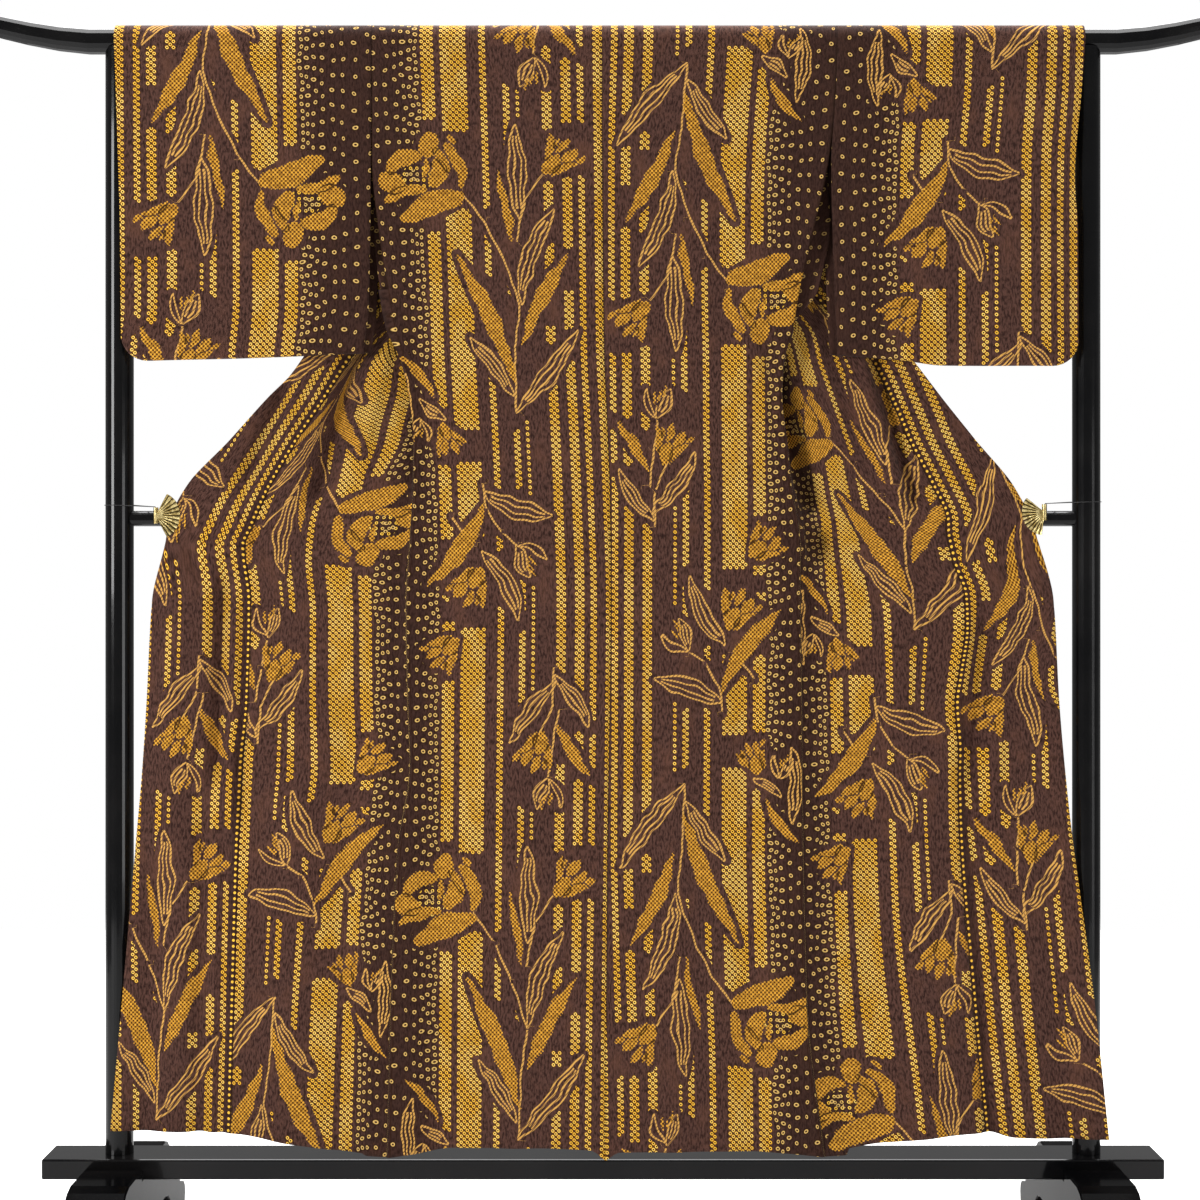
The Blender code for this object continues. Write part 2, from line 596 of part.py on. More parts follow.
def cut(item, cutter, hidden, operation="DIFFERENCE"):
    change = item.modifiers.new("fit", "BOOLEAN")
    change.operation = operation
    change.solver = "EXACT"
    change.object = cutter
    if operation == "DIFFERENCE":
        cutter.display_type = "WIRE"
        cutter.hide_render = True
    for owner in list(cutter.users_collection):
        owner.objects.unlink(cutter)
    hidden.objects.link(cutter)


def top_bar(group):
    """Straight round bar whose tapered ends rise in a gentle curve."""
    ends = np.array((0.700, 0.740, 0.780, 0.815, 0.845, 0.870, 0.888, 0.896, BAR_HALF_LENGTH))
    along = np.concatenate([-ends[::-1], ends])
    past = np.maximum(np.abs(along) - BAR_STRAIGHT, 0.0) / (BAR_HALF_LENGTH - BAR_STRAIGHT)
    lift = BAR_END_LIFT * past ** 1.5
    radii = 1.0 - 0.25 * past ** 1.2
    radii[[1, -2]] *= 0.86
    radii[[0, -1]] *= 0.55
    route = [(x, 0.0, BAR_HEIGHT + rise) for x, rise in zip(along, lift)]
    item = tube("stand_top_bar", route, radii, BAR_RADIUS, 6)
    item.data.shade_smooth()
    item.data.set_sharp_from_angle(angle=math.radians(50))
    return place(item, LACQUER, group)


def post(name, sign, group, hidden):
    """Round post, its top cut to sit under the bar, bored for the middle bar's end."""
    item = cylinder(name, POST_RADIUS, BASE_TOP + FIT, POST_TOP, (sign * POST_OUT, 0.0))
    saddle = cylinder(name + "_saddle", BAR_RADIUS + FIT, -0.1 + sign * POST_OUT,
                      0.1 + sign * POST_OUT, (0.0, BAR_HEIGHT), "X")
    ends = sorted((sign * (POST_OUT - 0.05), sign * (MID_BAR_TENON + FIT)))
    bore = cylinder(name + "_bore", MID_BAR_RADIUS + FIT, ends[0], ends[1],
                    (0.0, MID_BAR_HEIGHT), "X", 24)
    cut(item, saddle, hidden)
    cut(item, bore, hidden)
    return place(item, LACQUER, group)


def block(name, centre, size, bevel, group):
    bpy.ops.mesh.primitive_cube_add(size=1.0, location=centre)
    item = bpy.context.active_object
    item.name = name
    item.scale = size
    bpy.ops.object.transform_apply(location=False, rotation=False, scale=True)
    edge = item.modifiers.new("edge", "BEVEL")
    edge.width = bevel
    edge.segments = 2
    return place(item, LACQUER, group)


def foot_outline():
    """Half of the foot's side view: from its middle at the top, round the nose, to the arch."""
    bar = BASE_HALF_DEPTH + FIT
    top = [(0.0, BASE_BOTTOM - FIT), (bar, BASE_BOTTOM - FIT), (bar, FOOT_TOP)]
    for share in np.linspace(0.0, 1.0, 8):
        y = 0.120 + share * (FOOT_HALF_LENGTH - 0.018 - 0.120)
        drop = share * share * (3.0 - 2.0 * share)
        top.append((y, FOOT_TOP + (FOOT_NOSE - FOOT_TOP) * drop))
    for angle in np.radians((60.0, 30.0, 0.0)):
        y = FOOT_HALF_LENGTH - 0.018 + 0.018 * math.cos(angle)
        top.append((y, FOOT_NOSE - 0.018 + 0.018 * math.sin(angle)))
    top += [(FOOT_HALF_LENGTH - 0.004, 0.003), (FOOT_HALF_LENGTH - 0.008, 0.0), (0.185, 0.0)]
    for share in np.linspace(0.2, 1.0, 5):
        rise = math.sin(0.5 * math.pi * share)
        top.append((0.185 - 0.060 * share, FOOT_ARCH * rise))
    return top


def foot(name, sign, group):
    """A foot from front to back, arched below, notched on top for the base bar."""
    half = foot_outline()
    outline = half + [(-y, z) for y, z in reversed(half[1:])]
    curve = bpy.data.curves.new(name, "CURVE")
    curve.dimensions = "2D"
    curve.fill_mode = "BOTH"
    curve.extrude = FOOT_HALF_WIDTH - 0.002
    curve.bevel_depth = 0.002
    curve.bevel_resolution = 1
    curve.offset = -0.002
    spline = curve.splines.new("POLY")
    spline.points.add(len(outline) - 1)
    for point, (y, z) in zip(spline.points, outline):
        point.co = (y, z, 0.0, 1.0)
    spline.use_cyclic_u = True
    item = mesh_from_curve(name, curve)
    for vert in item.data.vertices:
        y, z, x = vert.co
        vert.co = (sign * POST_OUT + x, y, z)
    return place(item, LACQUER, group)


def clip(name, sign, row, group, hidden):
    """Pleated brass fan in front of the cloth, a plain one behind, and the pin that joins them."""
    out, height = row.out, row.height
    angles = np.radians(np.linspace(-row.spread, row.spread, 2 * CLIP_PLEATS + 1) - row.tilt)
    reach = np.array((0.0025, 0.010, 0.022, row.radius))[None, :]
    pleat = CLIP_PLEAT_DEPTH * (np.arange(len(angles)) % 2 * 2.0 - 1.0)[:, None]
    fan_out = out - reach * np.cos(angles)[:, None]
    fan_up = height + reach * np.sin(angles)[:, None]
    front_y = CLIP_DEPTH - WALL / 2 - CLIP_SLOT - CLIP_PLATE / 2 - CLIP_PLEAT_DEPTH
    back_y = CLIP_DEPTH + WALL / 2 + CLIP_SLOT + CLIP_PLATE / 2
    swell = pleat * np.clip((reach - 0.008) / 0.010, 0.0, 1.0)

    def plate(label, y):
        net = bmesh.new()
        grid = np.stack(np.broadcast_arrays(sign * fan_out, y, fan_up), axis=-1)
        verts = [[net.verts.new(point) for point in line] for line in grid.tolist()]
        for r in range(len(verts) - 1):
            for c in range(len(verts[0]) - 1):
                net.faces.new((verts[r][c], verts[r + 1][c], verts[r + 1][c + 1], verts[r][c + 1]))
        bmesh.ops.recalc_face_normals(net, faces=net.faces)
        mesh = bpy.data.meshes.new(label)
        net.to_mesh(mesh)
        net.free()
        made = bpy.data.objects.new(label, mesh)
        bpy.context.scene.collection.objects.link(made)
        solid = made.modifiers.new("plate", "SOLIDIFY")
        solid.thickness = CLIP_PLATE
        solid.offset = 0.0
        return made

    front = plate(name, front_y + swell)
    back = plate(name + "_back", back_y)
    pin = cylinder(name + "_pin", CLIP_PIN_RADIUS, height - CLIP_PIN_HALF,
                   height + CLIP_PIN_HALF, (sign * out, 0.5 * (front_y + back_y)), "Z", 16)
    for extra in (back, pin):
        cut(front, extra, hidden, "UNION")
        extra.hide_render = True
        extra.display_type = "WIRE"
    return place(front, BRASS, group)


def tie(name, sign, row, group):
    """Thin cord from the top of the clip's pin round the post and back, in one loop."""
    out, height = row.out, row.height
    pin_top = height + CLIP_PIN_HALF + FIT + TIE_RADIUS
    ring = POST_RADIUS + FIT + TIE_RADIUS
    ring_height = max(pin_top + 0.002, MID_BAR_HEIGHT + MID_BAR_RADIUS + 0.006)
    ring_rise = 0.0018
    start = np.array((out + 0.0012, CLIP_DEPTH - 0.0008, pin_top))
    end = np.array((out + 0.0012, CLIP_DEPTH + 0.0016, pin_top))

    def touch(point, side):
        """Angle round the post where a straight strand from the point just touches."""
        away, deep = point[0] - POST_OUT, point[1]
        return math.atan2(deep, away) + side * math.acos(ring / math.hypot(away, deep))

    angles = np.linspace(touch(start, 1.0), touch(end, -1.0) + 2.0 * math.pi, 15)
    loop = [np.array((POST_OUT + ring * math.cos(a), ring * math.sin(a), ring_height))
            for a in angles]
    loop = [point + np.array((0.0, 0.0, up))
            for point, up in zip(loop, np.linspace(0.0, ring_rise, len(loop)))]
    first = [start + (loop[0] - start) * share for share in (0.0, 0.35, 0.7)]
    last = [loop[-1] + (end - loop[-1]) * share for share in (0.35, 0.7, 1.0)]
    route = [(sign * x, y, z) for x, y, z in first + loop + last]
    return place(tube(name, route, [1.0] * len(route), TIE_RADIUS, 1), CORD_BLACK, group)


def main():
    clear_scene()
    group = new_collection(COLLECTION)
    hidden = new_collection("cutters")
    for half, clip_row in ((LEFT, LEFT_CLIP), (RIGHT, RIGHT_CLIP)):
        body_panel(half, group)
        okumi(half, group)
        sleeve(half, group)
        post("stand_post_" + half.name, half.sign, group, hidden)
        foot("stand_foot_" + half.name, half.sign, group)
        clip("clip_" + half.name, half.sign, clip_row, group, hidden)
        tie("tie_" + half.name, half.sign, clip_row, group)
    collar(group)
    top_bar(group)
    mid = cylinder("stand_mid_bar", MID_BAR_RADIUS, -MID_BAR_TENON, MID_BAR_TENON,
                   (0.0, MID_BAR_HEIGHT), "X", 24)
    place(mid, LACQUER, group)
    block("stand_base_bar", (0.0, 0.0, 0.5 * (BASE_BOTTOM + BASE_TOP)),
          (2 * BASE_HALF_LENGTH, 2 * BASE_HALF_DEPTH, BASE_TOP - BASE_BOTTOM), 0.0025, group)


main()
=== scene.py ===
"""Looks of a yukata that hangs over a lacquered kimono stand, seen from its back.

Each cloth piece is a thin shell on its own solid's form, worked out on a fine grid. The
bolt's tie-dyed pattern lies in the UV map: U is the distance in metres from the selvedge
with the scattered rings and V is the distance down the bolt. Units are metres, +Z is up,
the garment's back faces -Y and its left half is at -X.
"""

import math
from collections import namedtuple

import bpy
import numpy as np
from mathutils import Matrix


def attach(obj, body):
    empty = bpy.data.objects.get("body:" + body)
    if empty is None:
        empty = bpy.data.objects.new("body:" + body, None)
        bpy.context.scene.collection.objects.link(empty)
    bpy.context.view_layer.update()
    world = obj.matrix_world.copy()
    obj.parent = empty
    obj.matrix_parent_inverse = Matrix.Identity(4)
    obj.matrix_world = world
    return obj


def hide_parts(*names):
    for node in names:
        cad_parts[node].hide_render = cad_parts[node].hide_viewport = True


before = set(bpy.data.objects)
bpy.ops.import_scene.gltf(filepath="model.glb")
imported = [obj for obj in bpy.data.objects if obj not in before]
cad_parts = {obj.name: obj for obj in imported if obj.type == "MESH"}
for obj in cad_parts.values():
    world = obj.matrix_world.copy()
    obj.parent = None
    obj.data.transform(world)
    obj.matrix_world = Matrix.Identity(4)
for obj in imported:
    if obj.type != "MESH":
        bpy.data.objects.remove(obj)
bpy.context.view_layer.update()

# Stand and cloth sizes, as in the solids
BAR_HEIGHT = 1.662
DRAPE_RADIUS = 0.0205
NECK_OUT = 0.087
MID_BAR_HEIGHT = 1.011
OKUMI_TOP = 1.520
HEM_MEAN = 0.150
SHELL = 0.0007              # the shells are thinner than the solids' walls
CELL = 0.0057               # spacing of the grid's points on the cloth

# Round widths and a length of the pieces, which only set how many cells they have
PANEL_WIDTH = 0.300
TURNED_WIDTH = 0.215
OVERLAP_WIDTH = 0.160
SLEEVE_LENGTH = 0.430

BACK_DEPTH = {
    "height": (1.662, 1.500, 1.320, 1.226, 1.120, 1.015, 0.900, 0.764, 0.630, 0.360, 0.150),
    "y": (-0.0205, -0.0220, -0.0225, -0.0230, -0.0245, -0.0265, -0.0300, -0.0340, -0.0380,
          -0.0460, -0.0515),
}

# The front of each half, a row for each height, with the solids' own columns
FRONT_COLUMNS = ("height", "side", "fold", "seam", "edge", "lap", "gap", "turn",
                 "fold_y", "seam_y", "edge_y")
LEFT_FRONT = (
    (1.662, .3130, .0870, .1080, .1080, .0000, .0410, .0035, .0205, .0275, .0275),
    (1.600, .3130, .0880, .1150, .1310, .0000, .0368, .0035, .0200, .0270, .0270),
    (1.500, .3128, .1350, .1800, .2115, .0000, .0300, .0035, .0180, .0245, .0230),
    (1.380, .3010, .1900, .2620, .2980, .0095, .0160, .0030, .0120, .0175, .0130),
    (1.322, .2911, .2170, .2960, .3460, .0110, .0060, .0030, .0085, .0135, .0080),
    (1.270, .2822, .2400, .3240, .3825, .0100, .0058, .0030, .0045, .0095, .0045),
    (1.226, .2694, .2500, .3490, .4133, .0030, .0055, .0028, .0010, .0060, .0010),
    (1.175, .2600, .2430, .3780, .4577, .0000, .0052, .0026, -.0050, -.0005, -.0035),
    (1.120, .2538, .2420, .4130, .5055, .0000, .0050, .0025, -.0110, -.0070, -.0075),
    (1.045, .2538, .2600, .4557, .5720, .0000, .0048, .0022, -.0168, -.0125, -.0145),
    (1.000, .2565, .2640, .4750, .5900, .0000, .0045, .0022, -.0185, -.0145, -.0145),
    (0.975, .2579, .2660, .4854, .5945, .0000, .0045, .0022, -.0195, -.0155, -.0145),
    (0.900, .2626, .2720, .4766, .6112, .0000, .0040, .0018, -.0210, -.0190, -.0170),
    (0.764, .2600, .2740, .4800, .6180, .0000, .0035, .0014, -.0265, -.0235, -.0200),
    (0.680, .2566, .2720, .4880, .6230, .0000, .0030, .0010, -.0290, -.0252, -.0212),
    (0.560, .2730, .2900, .4920, .6330, .0000, .0030, .0010, -.0330, -.0287, -.0236),
    (0.360, .2816, .3050, .4970, .6500, .0000, .0030, .0010, -.0385, -.0330, -.0265),
    (0.150, .2860, .3160, .5023, .6680, .0000, .0030, .0010, -.0450, -.0370, -.0300),
)
RIGHT_FRONT = (
    (1.662, .3180, .0870, .1080, .1080, .0000, .0410, .0035, .0205, .0275, .0275),
    (1.600, .3155, .0880, .1150, .1310, .0000, .0368, .0035, .0200, .0270, .0270),
    (1.500, .3060, .1320, .1740, .2095, .0015, .0300, .0035, .0180, .0245, .0230),
    (1.380, .2800, .1840, .2520, .3020, .0270, .0190, .0030, .0120, .0175, .0130),
    (1.322, .2667, .2080, .2850, .3470, .0260, .0130, .0030, .0085, .0135, .0080),
    (1.270, .2573, .2230, .3300, .3880, .0000, .0060, .0029, .0045, .0095, .0045),
    (1.226, .2437, .2290, .3700, .4240, .0000, .0055, .0028, .0010, .0060, .0010),
    (1.175, .2405, .2330, .3920, .4620, .0000, .0052, .0026, -.0050, -.0005, -.0035),
    (1.120, .2465, .2440, .4130, .5050, .0000, .0050, .0025, -.0110, -.0070, -.0075),
    (1.045, .2535, .2600, .4380, .5640, .0000, .0048, .0022, -.0168, -.0125, -.0145),
    (1.000, .2620, .2700, .4520, .5840, .0000, .0045, .0022, -.0185, -.0145, -.0145),
    (0.975, .2640, .2730, .4600, .5920, .0000, .0045, .0022, -.0195, -.0155, -.0145),
    (0.900, .2635, .2740, .4760, .6110, .0000, .0040, .0018, -.0210, -.0190, -.0170),
    (0.764, .2650, .2790, .4820, .6180, .0000, .0035, .0014, -.0265, -.0235, -.0200),
    (0.630, .2655, .2860, .4810, .6296, .0000, .0030, .0010, -.0310, -.0270, -.0225),
    (0.360, .2705, .2960, .4996, .6640, .0000, .0030, .0010, -.0385, -.0330, -.0270),
    (0.150, .2938, .3240, .5200, .6855, .0000, .0030, .0010, -.0450, -.0370, -.0310),
)
BACK_HEM = {
    "left": {"out": (0.000, 0.020, 0.100, 0.190, 0.250, 0.286),
             "height": (0.149, 0.163, 0.165, 0.165, 0.158, 0.153)},
    "right": {"out": (0.000, 0.020, 0.060, 0.160, 0.250, 0.294),
              "height": (0.149, 0.160, 0.160, 0.160, 0.158, 0.154)},
}
FRONT_HEM = {
    "left": {"out": (0.286, 0.350, 0.430, 0.502, 0.668),
             "height": (0.153, 0.158, 0.170, 0.181, 0.183)},
    "right": {"out": (0.294, 0.330, 0.410, 0.520, 0.560, 0.686),
              "height": (0.154, 0.163, 0.172, 0.181, 0.175, 0.171)},
}
SEAM_TOP = {"left": 1.322, "right": 1.270}
SIDE_CLOSES = (1.26, 1.03)  # heights between which the front's side comes to the back's
SIDE_ROUND = 0.004          # the front's side then lies this much further out
SIDE_TIP = 0.0022           # and the side seam's middle line this much
SIDE_ALLOWANCE = 0.003      # cloth in the seam's rounding, and how far above the seam it goes
FOLD_OPENS = (1.18, 1.06)   # heights between which the fold's edge goes from round to slanted
FOLD_ROUND = 0.004          # the turned-out front then starts this much further out

# Soft ridges of the back down its seams, and the wide one beside its side seam
RIDGE_DEPTH = 0.0028
RIDGE_SPACING = 0.285
RIDGES_GROW = (1.15, 0.20)
SIDE_RIDGE_OUT = 0.225
SIDE_RIDGE_WIDTH = 0.022
SIDE_RIDGE_DEPTH = 0.0030
SIDE_RIDGE_GROWS = (1.45, 1.15)

# The front lies flat where a clip holds it and where it passes the middle bar
CLIP_OUT = 0.60
CLIP_HEIGHT = 1.012
CLIP_FLAT = 0.026
MID_BAR_FLAT = 0.017

# Folds and creases run along a line from top to foot; a positive depth pushes the cloth
# back, away from the viewer. The first of each front are the solids' own folds.
Fold = namedtuple("Fold", "top_out top_height foot_out foot_height width depth")
FRONT_FOLDS = {
    "left": (
        Fold(.514, .975, .527, .620, .011, .0180),
        Fold(.487, .930, .489, .560, .008, .0100),
        Fold(.540, .660, .546, .050, .014, .0120),
        Fold(.512, .640, .516, .050, .009, .0080),
        Fold(.572, .950, .592, .520, .022, -.0060),
        Fold(.412, 1.250, .498, 1.030, .013, .0160),
        Fold(.446, 1.055, .489, .950, .007, .0120),
        Fold(.318, 1.300, .402, 1.000, .015, .0240),
        Fold(.286, 1.290, .340, 1.050, .013, -.0090),
        Fold(.345, .820, .350, .050, .026, .0080),
        Fold(.415, .700, .430, .050, .026, -.0060),
        Fold(.600, .600, .625, .050, .020, .0080),
        Fold(.568, .985, .540, .905, .009, .0080),
        Fold(.590, .975, .585, .890, .007, -.0050),
        Fold(.560, 1.080, .575, 1.010, .008, .0050),
    ),
    "right": (
        Fold(.201, 1.290, .309, .930, .020, .0380),
        Fold(.354, 1.290, .434, .990, .010, .0210),
        Fold(.338, 1.290, .414, 1.000, .012, -.0120),
        Fold(.280, 1.290, .340, 1.060, .012, -.0080),
        Fold(.396, 1.000, .404, .700, .022, -.0090),
        Fold(.522, .910, .492, .620, .013, .0190),
        Fold(.492, .700, .534, .050, .014, .0150),
        Fold(.545, .850, .525, .600, .010, -.0070),
        Fold(.360, .780, .370, .050, .028, .0060),
        Fold(.430, .640, .440, .050, .024, -.0050),
        Fold(.600, .640, .635, .050, .022, .0070),
        Fold(.570, .985, .545, .900, .009, .0080),
        Fold(.592, .975, .590, .880, .007, -.0050),
        Fold(.556, 1.085, .572, 1.012, .008, .0050),
    ),
}
BACK_FOLDS = {
    "left": (
        Fold(.262, 1.300, .238, 1.000, .013, .0060),
        Fold(.170, 1.620, .195, 1.150, .020, .0040),
        Fold(.110, .940, .120, .050, .024, -.0050),
        Fold(.205, .880, .215, .050, .022, .0050),
    ),
    "right": (
        Fold(.214, 1.290, .256, 1.060, .013, .0090),
        Fold(.150, 1.600, .165, 1.200, .018, .0045),
        Fold(.100, .900, .092, .050, .022, -.0045),
        Fold(.190, .860, .200, .050, .024, .0055),
    ),
}
FADE_SHARE = 0.1            # a fold fades in and out over this share of its length
FADE_LEAST = 0.03           # and this much more

# Faint creases straight across the cloth, from long storage and from the bar behind it
CREASE_WAVE = 0.004         # how far they wave up and down
CREASE_TURNS = 17.0         # and their turns, in radians a metre
CrossCrease = namedtuple("CrossCrease", "height width depth")
CROSS_CREASES = (
    CrossCrease(1.011, .014, -.0035),
    CrossCrease(.985, .005, .0022),
    CrossCrease(.896, .003, .0014),
    CrossCrease(.560, .004, .0012),
)

# Sleeves, as in the solids
SLEEVE = {
    "left": {
        "edge": {"height": (1.683, 1.440, 1.230), "out": (0.6635, 0.6535, 0.6510)},
        "inner": {"height": (1.683, 1.490, 1.300, 1.235),
                  "out": (0.3133, 0.3141, 0.3168, 0.3240)},
        "bottom": {"out": (0.320, 0.450, 0.610), "height": (1.2346, 1.2290, 1.2237)},
    },
    "right": {
        "edge": {"height": (1.683, 1.600, 1.470, 1.400, 1.230),
                 "out": (0.6553, 0.6486, 0.6375, 0.6420, 0.6430)},
        "inner": {"height": (1.683, 1.600, 1.490, 1.300, 1.235),
                  "out": (0.3183, 0.3158, 0.3090, 0.3141, 0.3168)},
        "bottom": {"out": (0.317, 0.405, 0.460, 0.605),
                   "height": (1.2316, 1.2250, 1.2180, 1.2167)},
    },
}
CUFF_BOTTOM = 1.450
SLEEVE_CORNER = 0.035
SLEEVE_FOOT = 1.235
SLEEVE_FOLD = 0.004         # the fold at the foot reaches this far below the layers
SLEEVE_SPREADS = (0.480, 0.600)    # distances out between which the layers take their places
SLEEVE_POST_LIMIT = 0.637   # the far layer's cuff stays inside the post
CUFF_CLEARS = 1.478         # down to here, and takes the near one's edge by the cuff's foot
NEAR_FORWARD = 0.0065       # the near layer's cuff comes forward, fully from here down
NEAR_IS_FORWARD = 1.475
FAR_INNER = {"height": (1.662, 1.235), "y": (0.0205, -0.0130)}
FAR_OUTER = {"height": (1.662, 1.640, 1.475, 1.235), "y": (0.0205, 0.0180, -0.0222, -0.0222)}
FAR_LIFT = 0.004            # the far layer's open edge leans away from the front
FAR_LIFT_GROWS = (1.600, 1.520)
FAR_LIFT_ENDS = (0.345, 0.325)
FAR_LAP = 0.009             # and hangs this far in behind it
FAR_LAP_GROWS = (1.560, 1.500)
FAR_SIDE_DEGREES = (100.0, 170.0)    # over the bar, the near edge becomes the far one here

COLLAR_WIDTH = 0.055
COLLAR_END = 1.052
COLLAR_BAND_TOP = 1.640
COLLAR_BEHIND = 0.0030
COLLAR_LIFT = 0.0012        # it hangs this much further behind the front, higher up
COLLAR_LIFTS = (1.40, 1.60)
COLLAR_HIDDEN = 0.0012      # its edge is this far inside the front's
COLLAR_STRAIGHT = 1.55      # up to here; then it runs straight in towards the neck
COLLAR_SLANT = 0.80
COLLAR_AIM = 1.655
COLLAR_NECK_OUT = 0.080
COLLAR_NECK_TOP = 1.6720
COLLAR_NECK_DEPTH = 0.0201
COLLAR_CUT = 0.190          # distance from the bolt's selvedge where it is cut

# Bolt: the pattern repeats down its length
BOLT_WIDTH = 0.360
REPEAT = 0.975

# Where each piece lies on the bolt
BACK_SELVEDGE = {"left": 0.348, "right": 0.330}
BACK_NARROWING = {
    "left": {"height": (1.662, 1.473, 1.265, 1.035, 0.764, 0.331, 0.150),
             "share": (1.004, 0.980, 0.957, 0.948, 0.947, 0.935, 0.930)},
    "right": {"height": (1.662, 1.410, 1.265, 1.035, 0.150),
              "share": (1.000, 0.954, 0.956, 0.945, 0.940)},
}
# The middle seam hangs a little off the middle, and each back panel with it
CENTRE_SEAM = {"height": (1.662, 1.577, 1.252, 1.130, 1.035, 0.900, 0.548, 0.250, 0.150),
               "right": (-.0014, -.0014, .0012, .0060, .0095, .0107, .0056, .0038, .0036)}
BACK_SHIFT = {
    "left": {"height": (1.662, 1.577, 1.400, 1.252, 1.130, 1.035, 0.900, 0.764, 0.548, 0.331,
                        0.150),
             "right": (-.0030, -.0020, .0000, .0015, .0070, .0110, .0150, .0140, .0115, .0085,
                       .0065)},
    "right": {"height": (1.662, 1.500, 1.320, 1.225, 1.130, 1.035, 0.750, 0.560, 0.467, 0.370,
                         0.277, 0.150),
              "right": (.0045, .0010, .0010, .0027, .0040, .0060, .0055, .0045, .0065, .0090,
                        .0125, .0140)},
}
BACK_START = {"left": 1.7124, "right": -1.0679}
FRONT_START = {"left": 0.0298, "right": 0.6147}
OKUMI_START = {"left": 1.7327, "right": -0.5385}
FRONT_TOP = 1.6826          # the front's length down the bolt is counted from this height
FRONT_SLACK = {
    "left": {"height": (1.662, 1.205, 1.095, 1.002, 0.877, 0.566, 0.150),
             "length": (0.0232, 0.0240, 0.0731, 0.0839, 0.0934, 0.1016, 0.1050)},
    "right": {"height": (1.662, 1.205, 1.066, 0.950, 0.750, 0.250, 0.150),
              "length": (0.0232, 0.0470, 0.0620, 0.0950, 0.1000, 0.1150, 0.1160)},
}
FRONT_SIDE_WIDTH = {
    "left": {"height": (1.2425, 1.149, 1.060, 0.975, 0.150),
             "width": (0.075, 0.066, 0.055, 0.0505, 0.0505)},
    "right": {"height": (1.2425, 1.130, 0.950, 0.494, 0.150),
              "width": (0.037, 0.050, 0.060, 0.0575, 0.0560)},
}
FRONT_MIDDLE_WIDTH = 0.187  # a stripe's middle whose place was measured at each height
FRONT_MIDDLE = {
    "left": {"height": (1.2425, 1.126, 1.068, 1.041, 0.981, 0.955, 0.880, 0.780, 0.670, 0.630,
                        0.457, 0.330, 0.180),
             "out": (.3300, .3705, .3780, .3860, .3980, .3995, .3930, .3930, .3900, .3945,
                     .4080, .4160, .4220)},
    "right": {"height": (1.252, 1.171, 1.130, 1.087, 0.930, 0.880, 0.494, 0.230, 0.150),
              "out": (.2860, .3130, .3270, .3410, .3740, .3839, .3944, .4247, .4330)},
}
FRONT_MIDDLE_ENDS = (1.22, 1.30)    # heights between which the front's threads turn straight
FRONT_SEAM_WIDTH = 0.280
OKUMI_WIDTH = {
    "left": {"height": (1.662, 0.150), "width": (0.3370, 0.3370)},
    "right": {"height": (1.662, 0.700, 0.600, 0.500, 0.150),
              "width": (0.3330, 0.3330, 0.3355, 0.3415, 0.3415)},
}
OKUMI_KINK = 0.975
OKUMI_SPREAD = {
    "left": {"height": (1.662, 1.100, 0.980, 0.450, 0.300, 0.150),
             "share": (1.20, 1.20, 1.08, 1.08, 1.13, 1.16)},
    "right": {"height": (1.662, 1.040, 0.900, 0.850, 0.790, 0.740, 0.500, 0.150),
              "share": (1.08, 1.08, 1.12, 1.20, 1.15, 0.98, 0.970, 0.925)},
}
OKUMI_SLANT = {"left": math.radians(30.4), "right": math.radians(27.0)}
OKUMI_SLANTS = (0.90, 1.05)    # heights between which its threads come to slant
OKUMI_SLACK = {
    "left": {"height": (1.662, 0.150), "length": (0.000, 0.000)},
    "right": {"height": (1.662, 1.040, 0.930, 0.862, 0.800, 0.740, 0.650, 0.550, 0.450, 0.350,
                         0.150),
              "length": (0.033, 0.033, 0.036, 0.025, 0.008, 0.004, 0.007, 0.010, 0.015, 0.023,
                         0.025)},
}
# How far the folds carry the right overlap's seam out or in from the solids' smooth line
SEAM_SWAY = {
    "right": {"height": (1.662, 1.130, 1.060, 1.020, 0.980, 0.950, 0.910, 0.866, 0.800, 0.760,
                         0.690, 0.150),
              "out": (.000, .001, .011, .017, .009, .008, .0135, .012, .000, -.006, -.001,
                      .000)},
}
SLEEVE_TOP_LENGTH = {"left": 0.4574, "right": 0.5175}
SLEEVE_EASE = 0.975
SLEEVE_EDGE_PULL = {"left": 0.0, "right": 0.0085}    # the edge's own stripe lies further in
SLEEVE_EDGE = (0.322, 0.338)
SLEEVE_SEAM_ALLOWANCE = {
    "left": {"height": (1.662, 1.225), "width": (0.0000, 0.0090)},
    "right": {"height": (1.662, 1.500, 1.225), "width": (0.0080, 0.0095, 0.0175)},
}


def smooth_through(at, values, wanted):
    """A smooth curve through a table's points that never swings past them.

    The slope at each point is the harmonic mean of the slopes beside it, or zero at a
    peak, and each stretch between two points is a cubic with those end slopes.
    """
    at = np.asarray(at, float)
    values = np.asarray(values, float)
    if at[0] > at[-1]:
        at, values = at[::-1], values[::-1]
    wanted = np.clip(wanted, at[0], at[-1])
    step = np.diff(at)
    rise = np.diff(values) / step
    slope = np.zeros_like(values)
    same_way = rise[:-1] * rise[1:] > 0.0
    both = np.where(same_way, rise[:-1] + rise[1:], 1.0)
    slope[1:-1] = np.where(same_way, 2.0 * rise[:-1] * rise[1:] / both, 0.0)
    slope[0], slope[-1] = rise[0], rise[-1]
    span = np.clip(np.searchsorted(at, wanted, side="right") - 1, 0, len(at) - 2)
    width = step[span]
    t = (wanted - at[span]) / width
    return (values[span] * (1 + 2 * t) * (1 - t) ** 2 + values[span + 1] * t * t * (3 - 2 * t)
            + width * t * (1 - t) * (slope[span] * (1 - t) - slope[span + 1] * t))


